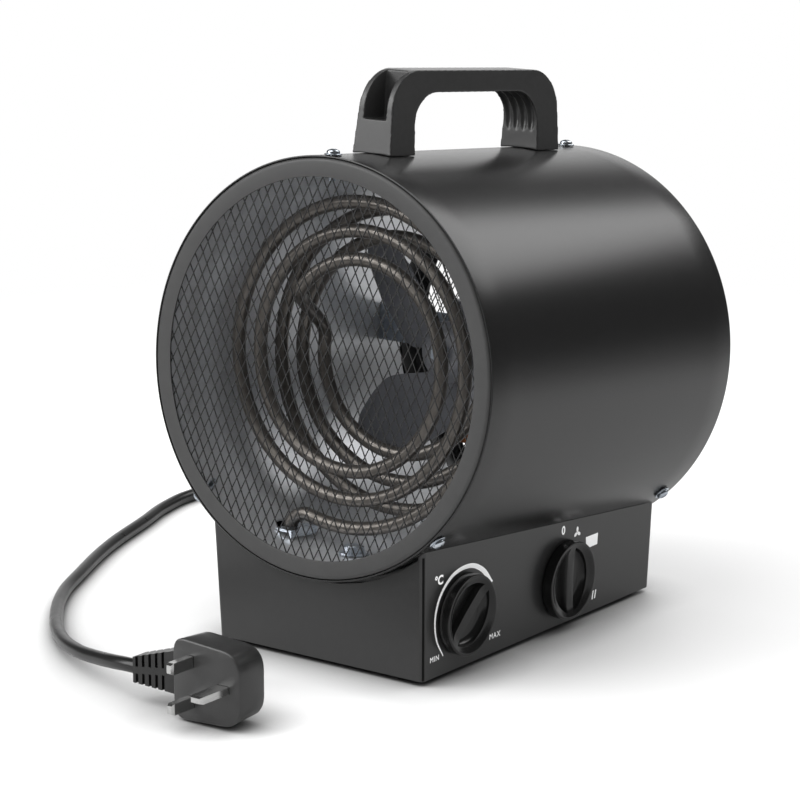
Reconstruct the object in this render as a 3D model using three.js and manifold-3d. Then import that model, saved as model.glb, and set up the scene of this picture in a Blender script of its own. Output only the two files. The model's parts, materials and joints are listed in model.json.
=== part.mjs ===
// Drum fan heater on a wedge-shaped base, with a fixed carrying handle, two control knobs
// and a mains cord. Millimetres, +Z up. The origin is on the floor under the middle of the
// drum; the grille faces -Y and the knobs are on the +X side.
import * as THREE from 'three';
import { mergeVertices } from 'three/addons/utils/BufferGeometryUtils.js';
import Module from 'manifold-3d';

const wasm = await Module();
wasm.setup();

const { degToRad } = THREE.MathUtils;
const FULL_TURN = Math.PI * 2;

// Fits shared by every piece
const gap = 0.3; // clearance between pieces that touch
const overrun = 3; // how far a cutter runs past the face it opens
const longOverrun = 60; // how far a cutter as long as the drum runs past it
const weld = 1e-4; // vertices closer than this are one
const finePitch = 48; // facets round the drum
const roundSides = 16; // facets round a pin, boss or knob
const smallSides = 8; // facets round a small screw or hole
const arcSteps = 8; // facets along an outline's arc

// Drum: a rolled steel tube, tilted so that the warm air rises a little
const drumRadius = 118;
const fanDepth = 129; // from the front edge to the middle of the fan's blades
const fanRearRoom = 118.4; // from there to the rear edge, with the motor in it
const drumLength = fanDepth + fanRearRoom;
const drumWall = 1;
const drumTilt = degToRad(5);
const drumGroundClearance = 40.5; // from the floor to the tube, under the middle
const axisHeight = drumRadius + drumGroundClearance;
const drumFront = -drumLength / 2;
const drumRear = drumLength / 2;
const drumBore = drumRadius - drumWall;

// End rings, their meshes and the screws that hold them
const ringOuter = drumBore - gap;
const ringFaceWidth = 10.4;
const ringFaceInner = ringOuter - ringFaceWidth;
const ringFaceThickness = 1;
const ringFlangeWall = 1;
const ringCorner = 1.2;
const frontFlangeLength = 13;
const rearFlangeLength = 14.6;
const ringProud = 0.8;
const meshThickness = 1.2;
const meshBorder = 1.5; // plain margin of the mesh inside the ring's opening
const strandWidth = 1.7;
const frontCellWidth = 17.6;
const frontCellHeight = 34.3;
const rearCellWidth = 24;
const rearCellHeight = 47;
const smallestCellShare = 1 / 6; // a cell cut down to less than this is left closed
const shellScrewAngles = [0, 135, 225].map(degToRad);
const shellScrewNames = ['top', 'right', 'left'];
const frontScrewInset = 5.2;
const rearScrewInset = 11.7;

// Pan-head screws
const screwShank = 1.9;
const screwHoleRadius = 2.4;
const screwHeadRadius = 3.7;
const screwHeadHeight = 2.6;
const screwCrownShare = 0.75; // radius of the head's top, as a share of its foot
const washerRadius = 4.9;
const washerThickness = 0.9;
const washerSeat = 0.6; // the flat washer clears the curved wall by this much
const shellScrewLength = 15;

// Inner heat shield
const linerAirGap = 7.5; // between the tube and the heat shield
const linerRadius = drumBore - linerAirGap;
const linerWall = 1;
const linerBore = linerRadius - linerWall;
const linerFrontDepth = frontFlangeLength + 3 * ringFaceThickness;
const linerRearInset = 25.4;
const linerFlange = 1;

// Heating element: one sheathed tube, wound inwards in front and outwards behind.
// Angles are clockwise from the top, seen from the front.
const elementTube = 4; // radius of the sheath
const elementFrontDepth = 36;
const elementRearDepth = 78;
const elementMargin = 11.41; // from the heat shield to the middle of the spiral's outer turn
const elementPitch = 16.1;
const elementCentreX = -1.7;
const elementCentreZ = 3;
const elementStartAngle = degToRad(-47);
const elementFrontSweep = degToRad(963.5);
const elementFrontTurns = elementFrontSweep / FULL_TURN;
const elementInnerRadius = linerBore - elementMargin - elementPitch * elementFrontTurns;
const elementCrossSweep = degToRad(40);
const elementRearSweep = degToRad(833);
const elementStepAngle = degToRad(18);
const elementCrossShares = [0.3, 0.5, 0.7];
const elementLegShares = [0.35, 0.7, 1];
const elementLegBend = 12;
const elementBendSteps = 6;
const elementLegReach = 12; // how far the cold ends stand out below the drum
const elementPinRadius = 1.6;
const elementPinLength = 9;
const elementSides = 6;
const legHoleRadius = 7.5;

// Element brackets and the overheat cut-out
const bracketSheet = 1.5;
const bracketWidth = 24;
const bracketReach = 24; // from the sheath out to the heat shield
const bracketLip = 2; // sheet left between the sheath's hole and the downturned edge
const bracketRise = 1.9; // from the bend's foot up to the tab
const bracketPlay = 0.85; // extra room round the tube, which starts to bend just below the tab
const cutoutRadius = 6;
const cutoutHeight = 4.6;
const cutoutFlange = 1.2;
const cutoutFlangeWidth = 2.5;
const cutoutDepth = 35;
const cutoutX = 5.5;

// Fan
const fanBlades = 4;
const fanTipGap = 20.5; // from the blades' tips to the heat shield
const fanRadius = linerBore - fanTipGap;
const hubRadius = 18;
const hubLength = 22;
const hubNoseShare = 0.7; // radius of the hub's front face, as a share of the hub's
const hubNoseLength = 4.4;
const bladeRoot = 1.3; // how deep a blade starts inside the hub
const bladeThickness = 1.8;
const bladeRootAngle = degToRad(30);
const bladeTipAngle = degToRad(19);
// Stations along a blade as shares of the way from root to tip; its leading edge and width
// there are in degrees about the shaft
const bladeStationShares = [0, 0.14, 0.31, 0.51, 0.69, 0.85, 0.95, 1];
const bladeLeadDegrees = [-138, -124, -117, -119.5, -123.5, -127, -131, -135];
const bladeWidthDegrees = [50, 60, 66, 47, 33, 22, 13, 4];
const bladeChordSteps = 3;
const nutRadius = 6;
const nutThickness = 4;
const nutSides = 6;

// Motor: shaded-pole, with its winding on the lower leg of the stack
const rotorRadius = 15.4;
const rotorAirGap = 0.6;
const rotorOverhang = 1;
const shaftRadius = 3;
const shaftRearLength = 16;
const fanMotorGap = 12; // from the hub to the motor's front bracket
const endBracketHeight = 14;
const endBracketThickness = 3;
const endBracketLeg = 9;
const statorStack = 24;
const statorHalfWidth = 30;
const statorRim = 9; // iron above the rotor
const statorBore = rotorRadius + rotorAirGap;
const statorTop = statorBore + statorRim;
const windowHalfWidth = 15;
const windowBridge = 8; // iron between the rotor and the window
const windowHeight = 17;
const windowTop = -statorBore - windowBridge;
const windowBottom = windowTop - windowHeight;
const coilLegHeight = 12; // iron inside the winding
const statorBottom = windowBottom - coilLegHeight;
const coilWall = 5.5;
const coilEndGap = 1;
const bearingRadius = 8;
const bearingLength = 7;
const motorBoltEdge = 6; // from the stack's side to a bolt
const motorBoltOffset = statorHalfWidth - motorBoltEdge;
const motorBoltRadius = 2;
const motorBoltHead = 4;
const motorBoltHeadHeight = 3;
const mountSheet = 1.6;
const mountHeight = 22;
const mountTab = 14;

// Base: a folded sheet wedge that follows the drum
const footHeight = 3;
const baseWidthShare = 0.6153; // of the drum's width
const baseHalfWidth = drumRadius * baseWidthShare;
const baseFrontInset = 0.3; // from the drum's ends to the base's end walls
const baseRearInset = 14.3;
const baseFront = drumFront + baseFrontInset;
const baseRear = drumRear - baseRearInset;
const baseWall = 1.2;
const baseBlankShare = 0.6; // the sheet reaches this share of the drum's radius below its axis
const baseHeight = axisHeight - footHeight - drumRadius * baseBlankShare;
const sideLean = 0.029;
const endLean = 0.036;
const baseCorner = 2.5;
const innerCornerShare = 0.25; // least inner corner, as a share of the outer
const cornerSteps = 3;
const frontArcGap = 2;
const rearArcGap = 3.5;
const plateThickness = 1.2;
const plateLip = 7;
const footRadius = 8;
const footInset = 15;
const footStud = 2;
const footBarb = 4;
const footSoleShare = 0.85;
const footChamferShare = 0.4;
const footStudLength = 4.8;
const saddleStrip = 1.2;
const saddleLength = 20;
const saddleDepth = 8;
const saddleTopShare = 0.7; // the saddles end this share of the drum's radius below its axis
const saddleFrontInset = 25.8; // from the drum's edge to the saddle's screws
const saddleRearInset = 19.3;
const saddleScrewAngle = degToRad(22);
const saddleScrewLength = 8;
const wireSlotWidth = 20;
const wireSlotStart = -30;
const wireSlotEnd = 20;

// Controls on the side panel, placed along Y
const thermostatInset = 36;
const controlSpacing = 101.4;
const thermostatY = baseFront + thermostatInset;
const selectorY = thermostatY + controlSpacing;
const controlHeightShare = 0.4543; // of the side wall's height where the knob is
const knobRadius = 23.2;
const knobHeight = 7.4;
const knobWaistShare = 0.45;
const knobShoulderShare = 0.85;
const knobStandOff = 0.8;
const knobSides = 24;
const knobEdge = 0.8; // width of the small chamfers
const knobDishDepth = 2.6;
const knobFace = knobHeight - knobDishDepth; // height of the dished face
const knobRimWidth = 2.7;
const knobRim = knobRadius - knobRimWidth; // radius of the raised rim's crest
const knobDishWidth = 1.9;
const knobDish = knobRim - knobDishWidth;
const knobPocketDepth = 3;
const knobPocketMargin = 0.4;
const knobPocketHalfLength = knobDish - knobPocketMargin;
const knobPocketHalfWidth = 15.8;
const knobBarWidth = 6;
const knobBossRadius = 5.5;
const knobBossLength = 8;
const panelHoleGap = 0.6;
const stemRadius = 3;
const stemBoreDepth = 1.6; // how far the stem's bore reaches past the panel face
const thermostatPointer = degToRad(48);
const controlGap = 3; // from the panel to the body of a control
const controlFlangeShare = 0.77; // a control's front flange, as a share of its body
const thermostatBodyRadius = 15;
const thermostatBodyLength = 22;
const selectorBodySize = 24;
const selectorBodyLength = 20;
const controlBushRadius = 8;

// Handle: a moulded bow, written in the drum's own frame; rises are from the drum
const handleHalfFoot = 84.5;
const handleLegLean = 2.2;
const handleHalfShoulder = handleHalfFoot - handleLegLean;
const handleShoulderRise = 23.5;
const handleShoulder = drumRadius + handleShoulderRise;
const handleCorner = 25.3;
const handleHalfTop = handleHalfShoulder - handleCorner;
const handleRise = 47;
const handleTop = drumRadius + handleRise;
const handleGripThickness = 12.5;
const handleLegWidth = 23.5;
const handleInnerHalfFoot = handleHalfFoot - handleLegWidth;
const handleInnerRise = 16;
const handleInnerShoulder = drumRadius + handleInnerRise;
const handleInnerCorner = 22;
const handleInnerHalfTop = handleInnerHalfFoot - handleInnerCorner;
const handleFootHalfWidth = 14;
const handleTopHalfWidth = 10.5;
const handleFootDrop = 8;
const pocketSideWall = 2.9;
const pocketHalfWidth = handleTopHalfWidth - pocketSideWall;
const pocketRise = 19;
const pocketFloor = drumRadius + pocketRise;
const pocketDepth = 21;
const pocketBack = handleHalfFoot - pocketDepth;
const fluteCount = 4;
const flutePitch = 4.8;
const fluteRadius = 2.5;
const fluteDrop = 0.6;
const fluteCorner = 26;
const fluteBendShare = 0.9;
const fluteFadeShare = 0.78;
const fluteSteps = 11;
const handleScrewInset = 12.5;
const handleScrewY = handleHalfFoot - handleScrewInset;
const handleScrewLength = 17;
const handleScrewShank = 2.4;

// Terminal block and cable gland
const terminalLength = 46;
const terminalWidth = 16;
const terminalHeight = 14;
const terminalWays = 4;
const terminalWellShare = 0.25; // radius of a screw well, as a share of a way
const terminalSlotShare = 0.2;
const terminalY = 40;
const terminalX = -30;
const glandX = -38;
const glandHeightShare = 0.598; // of the room between the floor and the drum
const glandFlangeRadius = 9;
const glandFlange = 2.5;
const glandNeck = 6.6;
const glandLength = 24;
const glandTip = 5.2;
const glandNotchGap = 0.6;

// Mains cord and its plug
const cordRadius = 4;
const cordRest = 0.3; // the faceted cord keeps this far off the floor
const cordSides = 8;
const cordStep = 5.5; // length of a facet along the cord, in cord radii
const coilX = -104;
const coilBehind = 121.9; // from the base's rear wall to the middle of the coil
const coilRadius = 42; // mean radius of the inner turn on the floor
const coilTurnGap = 1.2; // between neighbouring turns of a layer
const coilPitch = cordRadius * 2 + coilTurnGap;
const coilLayerGap = 0.9;
const coilLift = cordRadius * 2 + coilLayerGap;
const coilLoopSteps = 24;
const coilSides = 6;
const coilTurnsIn = 1.25; // wound inwards on the floor
const coilTurnsOut = 1; // wound outwards on top
const coilClimbTurns = 0.5;
const coilStraight = 8; // straight length at each end of the coil
const coilProbe = 4; // how much finer the coil's gap is measured than it is drawn
const plugX = 9.8; // the line through the two smaller pins
const plugFaceY = -244;
const plugDepth = 30.6;
const plugCableSide = -12.6;
const plugEarthSide = 33.4;
const plugHalfHeight = 23;
const plugRest = 0.4; // the plug's wide end keeps this far off the floor
const plugAxisZ = plugHalfHeight + plugRest;
const plugEndHalfHeight = 17.5;
const plugCableCorner = 8;
const plugEarthCorner = 11;
const pinSpacing = 22.2;
const pinWidth = 6.35;
const pinThickness = 3.95;
const pinLength = 17.7;
const earthWidth = 7.93;
const earthLength = 22.7;
const pinSeat = 4; // how deep the pins go into the plug
const pinTipShare = 0.7; // width of a pin's end, as a share of its width
const reliefFromFace = 15;
const reliefDrop = 5.7; // its free end hangs this far below the plug's axis
const reliefLength = 37;
const reliefRootHalfHeight = 13;
const reliefTipHalfHeight = 7.2;
const reliefRootHalfDepth = 7;
const reliefTipHalfDepth = 5.4;
const reliefSlots = 5;
const reliefSlotWidth = 2;
const reliefSlotPitch = 4.9;
const reliefSlotDepth = 1.6;

const v3 = (x, y, z) => new THREE.Vector3(x, y, z);
const up = v3(0, 1, 0); // the axis of cylinders and lathes

// Materials
const finish = (color, roughness, metalness) =>
  new THREE.MeshStandardMaterial({ color, roughness, metalness });
const satinBlack = finish(0x1d1e20, 0.4, 0.3);
const ringGrey = finish(0x4a4b4c, 0.55, 0.2);
const meshBlack = finish(0x232425, 0.45, 0.6);
const shieldGrey = finish(0x6a6c70, 0.4, 0.7);
const mouldedBlack = finish(0x232324, 0.5, 0);
const glossBlack = finish(0x111113, 0.25, 0);
const zinc = finish(0xb4bcc2, 0.3, 0.95);
const sheathSteel = finish(0x746a62, 0.45, 0.8);
const laminated = finish(0x6d6f73, 0.5, 0.8);
const copper = finish(0xa8602f, 0.4, 0.8);
const rubber = finish(0x181818, 0.8, 0);
const insulator = finish(0xe6e2d8, 0.6, 0);
const nickel = finish(0xd8d8d6, 0.2, 1);

// A closed geometry as a solid for booleans: shared vertices welded, closed-up triangles
// dropped, faces turned outwards.
function solid(geometry) {
  const bare = geometry.clone();
  bare.deleteAttribute('normal');
  bare.deleteAttribute('uv');
  const welded = mergeVertices(bare, weld);
  const position = welded.getAttribute('position');
  const index = welded.index.array;
  const triangles = [];
  const [a, b, c] = [v3(0, 0, 0), v3(0, 0, 0), v3(0, 0, 0)];
  let volume = 0;
  for (let i = 0; i < index.length; i += 3) {
    const [i0, i1, i2] = [index[i], index[i + 1], index[i + 2]];
    if (i0 === i1 || i1 === i2 || i2 === i0) continue;
    triangles.push(i0, i1, i2);
    a.fromBufferAttribute(position, i0);
    b.fromBufferAttribute(position, i1);
    c.fromBufferAttribute(position, i2);
    volume += a.dot(b.cross(c));
  }
  if (volume < 0) triangles.reverse();
  return new wasm.Manifold(new wasm.Mesh({
    numProp: 3,
    vertProperties: new Float32Array(position.array),
    triVerts: new Uint32Array(triangles),
  }));
}

const asSolid = (shape) => (shape.isBufferGeometry ? solid(shape) : shape);
const join = (...shapes) => shapes.map(asSolid).reduce((whole, next) => whole.add(next));
const cut = (body, ...tools) => tools.reduce((rest, tool) => rest.subtract(asSolid(tool)), asSolid(body));
const keep = (body, region) => asSolid(body).intersect(asSolid(region));

function toGeometry(shape) {
  const mesh = asSolid(shape).getMesh();
  const geometry = new THREE.BufferGeometry();
  geometry.setAttribute('position', new THREE.BufferAttribute(mesh.vertProperties, 3));
  geometry.setIndex(new THREE.BufferAttribute(mesh.triVerts, 1));
  geometry.computeVertexNormals();
  return geometry;
}

function addPiece(group, name, shape, material) {
  const mesh = new THREE.Mesh(toGeometry(shape), material);
  mesh.name = name;
  group.add(mesh);
}

// Two numbers in rising order
const rising = (a, b) => [Math.min(a, b), Math.max(a, b)];

// Basic forms
function block(x0, x1, y0, y1, z0, z1) {
  return new THREE.BoxGeometry(x1 - x0, y1 - y0, z1 - z0)
    .translate((x0 + x1) / 2, (y0 + y1) / 2, (z0 + z1) / 2);
}

// A bar of round section from one point to another; the end radius may differ
function rod(radius, from, to, sides = smallSides, endRadius = radius) {
  const axis = to.clone().sub(from);
  return new THREE.CylinderGeometry(endRadius, radius, axis.length(), sides)
    .applyQuaternion(new THREE.Quaternion().setFromUnitVectors(up, axis.clone().normalize()))
    .translate((from.x + to.x) / 2, (from.y + to.y) / 2, (from.z + to.z) / 2);
}

// Radius of a bore of flat facets that clears a shaft all round
const boreFor = (shaft, sides = roundSides) => (shaft + gap) / Math.cos(Math.PI / sides);

// A profile of [radius, height] points turned round the Y axis
function revolve(profile, segments = roundSides) {
  return new THREE.LatheGeometry(profile.map(([r, y]) => new THREE.Vector2(r, y)), segments);
}

// A ring or tube about the drum's axis, between two radii and two places along it
function sleeve(inner, outer, y0, y1, segments = finePitch) {
  return revolve([[inner, y0], [outer, y0], [outer, y1], [inner, y1], [inner, y0]], segments);
}

const discOf = (radius, y0, y1, segments = finePitch) =>
  revolve([[0, y0], [radius, y0], [radius, y1], [0, y1]], segments);

// A turned form whose axis, up its profile, points from a place in a direction
function turnedAt(profile, place, direction, segments) {
  return revolve(profile, segments)
    .applyQuaternion(new THREE.Quaternion().setFromUnitVectors(up, direction.clone().normalize()))
    .translate(place.x, place.y, place.z);
}

// An outline of [first, second] points, extruded along Y and standing in the XZ plane
function plateAcrossY(shape, y0, y1, curveSegments = arcSteps) {
  return new THREE.ExtrudeGeometry(shape, { depth: y1 - y0, bevelEnabled: false, curveSegments })
    .rotateX(Math.PI / 2)
    .translate(0, y1, 0);
}

function polygon(points) {
  return new THREE.Shape(points.map(([x, y]) => new THREE.Vector2(x, y)));
}

// A tube of few sides along a curve
function tubeAlong(curve, radius, sides, steps) {
  const section = new THREE.Shape();
  for (let side = 0; side < sides; side += 1) {
    const angle = (side / sides) * FULL_TURN;
    const [x, y] = [radius * Math.cos(angle), radius * Math.sin(angle)];
    if (side === 0) section.moveTo(x, y);
    else section.lineTo(x, y);
  }
  return new THREE.ExtrudeGeometry(section, { steps, bevelEnabled: false, extrudePath: curve });
}

// A curve whose steps fall on its own places, so that tight bends keep their shape
class PlacedCurve extends THREE.CatmullRomCurve3 {
  getUtoTmapping(share) {
    return share;
  }
}

// A place at an angle, clockwise from the top seen from the front, in the drum's frame
const aroundDrum = (angle, radius, y) => v3(radius * Math.sin(angle), y, radius * Math.cos(angle));

// Pan-head screw with its washer; the height along its axis starts under the washer
function panScrew(length, shank = screwShank) {
  return [
    [0, -length], [shank, -length], [shank, 0], [washerRadius, 0],
    [washerRadius, washerThickness], [screwHeadRadius, washerThickness],
    [screwHeadRadius * screwCrownShare, washerThickness + screwHeadHeight],
    [0, washerThickness + screwHeadHeight],
  ];
}

// The drum's frame: Y runs along its axis from front to rear
const drum = new THREE.Group();
drum.position.set(0, 0, axisHeight);
drum.rotation.x = -drumTilt;
drum.updateMatrix();
const inDrumFrame = (geometry) => geometry.clone().applyMatrix4(drum.matrix);

const legPlaces = [
  { side: 'left', x: 0, y: drumFront + elementFrontDepth, bendZ: 0 },
  { side: 'right', x: 0, y: drumFront + elementRearDepth, bendZ: 0 },
];

// Heating element
const elementLegEnd = drumRadius + elementLegReach;

// A place on the spiral whose radius grows by the pitch in a full turn
function spiralPlace(angle, turned, y) {
  const radius = elementInnerRadius + elementPitch * (turned / FULL_TURN);
  return aroundDrum(angle, radius, y).add(v3(elementCentreX, 0, elementCentreZ));
}

function spiralPlaces(startAngle, sweep, turn, y) {
  const steps = Math.round(sweep / elementStepAngle);
  const places = [];
  for (let step = 0; step <= steps; step += 1) {
    const turned = (sweep * step) / steps;
    places.push(spiralPlace(startAngle + turn * turned, turned, y));
  }
  return places;
}

// Cold end: a bend that joins the spiral's own direction, then straight down to the base
function coldEnd(end, before, y) {
  const direction = end.clone().sub(before).normalize();
  const side = Math.sign(direction.x);
  const centre = end.clone().addScaledVector(v3(-direction.z, 0, direction.x), -elementLegBend * side);
  const legX = centre.x + side * elementLegBend;
  const startAngle = Math.atan2(end.z - centre.z, end.x - centre.x);
  const endAngle = side > 0 ? 0 : Math.PI;
  const whole = Math.atan2(Math.sin(endAngle - startAngle), Math.cos(endAngle - startAngle));
  const places = [];
  for (let step = 1; step <= elementBendSteps; step += 1) {
    const angle = startAngle + (whole * step) / elementBendSteps;
    const out = v3(Math.cos(angle), 0, Math.sin(angle));
    places.push(centre.clone().addScaledVector(out, elementLegBend).setY(y));
  }
  for (const share of elementLegShares) {
    places.push(v3(legX, y, THREE.MathUtils.lerp(centre.z, -elementLegEnd, share)));
  }
  return { x: legX, bendZ: centre.z, places };
}

function elementPath() {
  const frontY = drumFront + elementFrontDepth;
  const rearY = drumFront + elementRearDepth;
  const front = spiralPlaces(elementStartAngle, elementFrontSweep, 1, frontY);
  const rear = spiralPlaces(elementStartAngle - elementCrossSweep, elementRearSweep, -1, rearY);
  const frontEnd = coldEnd(front.at(-1), front.at(-2), frontY);
  const rearEnd = coldEnd(rear.at(-1), rear.at(-2), rearY);
  const crossing = elementCrossShares.map((share) => {
    const y = THREE.MathUtils.lerp(frontY, rearY, THREE.MathUtils.smoothstep(share, 0, 1));
    return spiralPlace(elementStartAngle - elementCrossSweep * share, 0, y);
  });
  [frontEnd, rearEnd].forEach(({ x, bendZ }, i) => Object.assign(legPlaces[i], { x, bendZ }));
  return [...frontEnd.places.reverse(), ...front.reverse(), ...crossing, ...rear, ...rearEnd.places];
}

const elementPoints = elementPath();

function heatingElement() {
  const curve = new PlacedCurve(elementPoints, false, 'centripetal');
  const sheath = tubeAlong(curve, elementTube, elementSides, elementPoints.length - 1);
  const pins = legPlaces.map(({ x, y }) =>
    rod(elementPinRadius, v3(x, y, overrun - elementLegEnd), v3(x, y, -elementLegEnd - elementPinLength)));
  return join(sheath, ...pins);
}

const legHole = ({ x, y }) =>
  rod(legHoleRadius, v3(x, y, longOverrun - linerRadius), v3(x, y, -drumRadius - longOverrun));

function elementBracket({ x, y, bendZ }) {
  const outward = Math.sign(x);
  const [y0, y1] = [y - bracketWidth / 2, y + bracketWidth / 2];
  const top = bendZ + bracketRise + bracketSheet;
  const innerX = x - outward * (legHoleRadius + bracketSheet + bracketLip);
  const tab = block(...rising(innerX, x + outward * bracketReach), y0, y1, top - bracketSheet, top);
  const edge = block(...rising(innerX, innerX + outward * bracketSheet), y0, y1, -drumRadius, top);
  const hole = rod(boreFor(elementTube + bracketPlay), v3(x, y, top - bracketSheet - overrun),
    v3(x, y, top + overrun), roundSides);
  return cut(keep(join(tab, edge), discOf(linerBore - gap * 2, drumFront, drumRear)), hole);
}

// Overheat cut-out: a small can on a round flange that lies on the heat shield
function cutout() {
  const y = drumFront + cutoutDepth;
  const angle = Math.PI - Math.asin(cutoutX / linerRadius);
  const flangeRadius = cutoutRadius + cutoutFlangeWidth;
  const sag = linerRadius - Math.sqrt(linerRadius ** 2 - flangeRadius ** 2);
  const seat = aroundDrum(angle, linerBore - gap * 2 - sag, y);
  const crown = cutoutHeight + cutoutFlange / 2;
  return turnedAt([
    [0, 0], [flangeRadius, 0], [flangeRadius, cutoutFlange], [cutoutRadius, cutoutFlange],
    [cutoutRadius, cutoutHeight], [cutoutRadius - cutoutFlange / 2, crown], [0, crown],
  ], seat, aroundDrum(angle, -1, 0), roundSides);
}

// Drum shell
function screwHolesThrough(inner, outer, y, angles, radius) {
  return angles.map((angle) =>
    rod(radius, aroundDrum(angle, inner - overrun, y), aroundDrum(angle, outer + overrun, y)));
}

const frontScrewY = drumFront + frontScrewInset;
const rearScrewY = drumRear - rearScrewInset;
const handleScrewPlaces = [-handleScrewY, handleScrewY];
const saddleAngles = [Math.PI - saddleScrewAngle, Math.PI + saddleScrewAngle];

function wireSlot() {
  return block(-wireSlotWidth / 2, wireSlotWidth / 2, wireSlotStart, wireSlotEnd,
    -drumRadius - overrun, longOverrun - linerRadius);
}

function drumShell() {
  return cut(sleeve(drumBore, drumRadius, drumFront, drumRear),
    ...screwHolesThrough(drumBore, drumRadius, frontScrewY, shellScrewAngles, screwHoleRadius),
    ...screwHolesThrough(drumBore, drumRadius, rearScrewY, shellScrewAngles, screwHoleRadius),
    ...handleScrewPlaces.flatMap((y) =>
      screwHolesThrough(drumBore, drumRadius, y, [0], boreFor(handleScrewShank, smallSides))),
    ...saddleRows.flatMap(({ middle }) =>
      screwHolesThrough(drumBore, drumRadius, middle, saddleAngles, screwHoleRadius)),
    ...legPlaces.map(legHole),
    wireSlot());
}

// Saddles carry the drum inside the base, one behind each end wall
const saddleRows = [
  { name: 'front', toward: 1, wallY: baseFront, middle: drumFront + saddleFrontInset },
  { name: 'rear', toward: -1, wallY: baseRear, middle: drumRear - saddleRearInset },
].map((row) => {
  const drop = Math.sin(drumTilt) * drumRadius;
  return { ...row, innerY: (row.wallY + row.toward * (baseWall + gap)) / Math.cos(drumTilt) + drop };
});

function innerLiner() {
  const front = drumFront + linerFrontDepth;
  const rear = drumRear - linerRearInset;
  const shell = revolve([
    [linerBore, front], [ringOuter, front], [ringOuter, front + linerFlange],
    [linerRadius, front + linerFlange], [linerRadius, rear - linerFlange],
    [ringOuter, rear - linerFlange], [ringOuter, rear], [linerBore, rear], [linerBore, front],
  ], finePitch);
  return cut(shell, ...legPlaces.map(legHole), wireSlot());
}

// An end ring: a flat face with a flange inside the drum. Toward is 1 at the front, -1 at the rear.
function endRing(edgeY, toward, flangeLength, screwY) {
  const face = edgeY - toward * ringProud;
  const back = face + toward * ringFaceThickness;
  const inner = ringOuter - ringFlangeWall;
  const end = face + toward * flangeLength;
  const ring = revolve([
    [ringFaceInner, face], [ringOuter - ringCorner, face], [ringOuter, face + toward * ringCorner],
    [ringOuter, end], [inner, end], [inner, back], [ringFaceInner, back], [ringFaceInner, face],
  ], finePitch);
  return cut(ring, ...screwHolesThrough(inner, ringOuter, screwY, shellScrewAngles, screwHoleRadius));
}

// Diamond mesh: whole and part cells of a staggered lattice, opened in a disc
function diamondMesh(faceY, toward, cellWidth, cellHeight) {
  const outer = ringOuter - ringFlangeWall - gap;
  const open = ringFaceInner - meshBorder;
  const near = faceY + toward * (ringFaceThickness + gap - ringProud);
  const [y0, y1] = rising(near, near + toward * meshThickness);
  const slope = Math.hypot(cellWidth, cellHeight);
  const halfWidth = cellWidth / 2 - (strandWidth / 2) * (slope / cellHeight);
  const halfHeight = cellHeight / 2 - (strandWidth / 2) * (slope / cellWidth);
  const columns = Math.ceil(open / cellWidth) + 1;
  const rows = Math.ceil((open / cellHeight) * 2) + 1;
  const reach = open - cellWidth * smallestCellShare;
  const cells = [];
  for (let row = -rows; row <= rows; row += 1) {
    for (let column = -columns; column <= columns; column += 1) {
      const x = column * cellWidth + (row % 2 === 0 ? 0 : cellWidth / 2);
      const z = (row * cellHeight) / 2;
      if (Math.hypot(x, z) < reach) {
        const cell = polygon([
          [x - halfWidth, z], [x, z - halfHeight], [x + halfWidth, z], [x, z + halfHeight],
        ]);
        cells.push(solid(plateAcrossY(cell, y0 - overrun, y1 + overrun)));
      }
    }
  }
  const openings = keep(wasm.Manifold.compose(cells), discOf(open, y0 - overrun, y1 + overrun));
  return cut(discOf(outer, y0, y1), openings);
}

// Handle
function bowOutline() {
  const bow = new THREE.Shape();
  const foot = drumRadius - handleFootDrop;
  const topInner = handleTop - handleGripThickness;
  bow.moveTo(-handleHalfFoot, foot);
  bow.lineTo(-handleHalfShoulder, handleShoulder);
  bow.absellipse(-handleHalfTop, handleShoulder, handleHalfShoulder - handleHalfTop,
    handleTop - handleShoulder, Math.PI, Math.PI / 2, true);
  bow.lineTo(handleHalfTop, handleTop);
  bow.absellipse(handleHalfTop, handleShoulder, handleHalfShoulder - handleHalfTop,
    handleTop - handleShoulder, Math.PI / 2, 0, true);
  bow.lineTo(handleHalfFoot, foot);
  bow.lineTo(handleInnerHalfFoot, foot);
  bow.lineTo(handleInnerHalfFoot, handleInnerShoulder);
  bow.absellipse(handleInnerHalfTop, handleInnerShoulder, handleInnerHalfFoot - handleInnerHalfTop,
    topInner - handleInnerShoulder, 0, Math.PI / 2, false);
  bow.lineTo(-handleInnerHalfTop, topInner);
  bow.absellipse(-handleInnerHalfTop, handleInnerShoulder, handleInnerHalfFoot - handleInnerHalfTop,
    topInner - handleInnerShoulder, Math.PI / 2, Math.PI, false);
  bow.lineTo(-handleInnerHalfFoot, foot);
  bow.closePath();
  return bow;
}

// A finger flute runs under the grip and fades into the inner corners
function flutePath(x) {
  const z = handleTop - handleGripThickness - fluteDrop;
  const reach = handleInnerHalfFoot - fluteCorner + fluteRadius / 2;
  const turnAt = (end) => [
    v3(x, end * reach, z),
    v3(x, end * (reach + fluteCorner * fluteBendShare), z),
    v3(x, end * (reach + fluteCorner * fluteFadeShare), z - fluteCorner),
  ];
  const [rearTurn, frontTurn] = [turnAt(1), turnAt(-1)];
  const path = new THREE.CurvePath();
  path.add(new THREE.QuadraticBezierCurve3(...frontTurn.toReversed()));
  path.add(new THREE.LineCurve3(frontTurn[0], rearTurn[0]));
  path.add(new THREE.QuadraticBezierCurve3(...rearTurn));
  return path;
}

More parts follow.
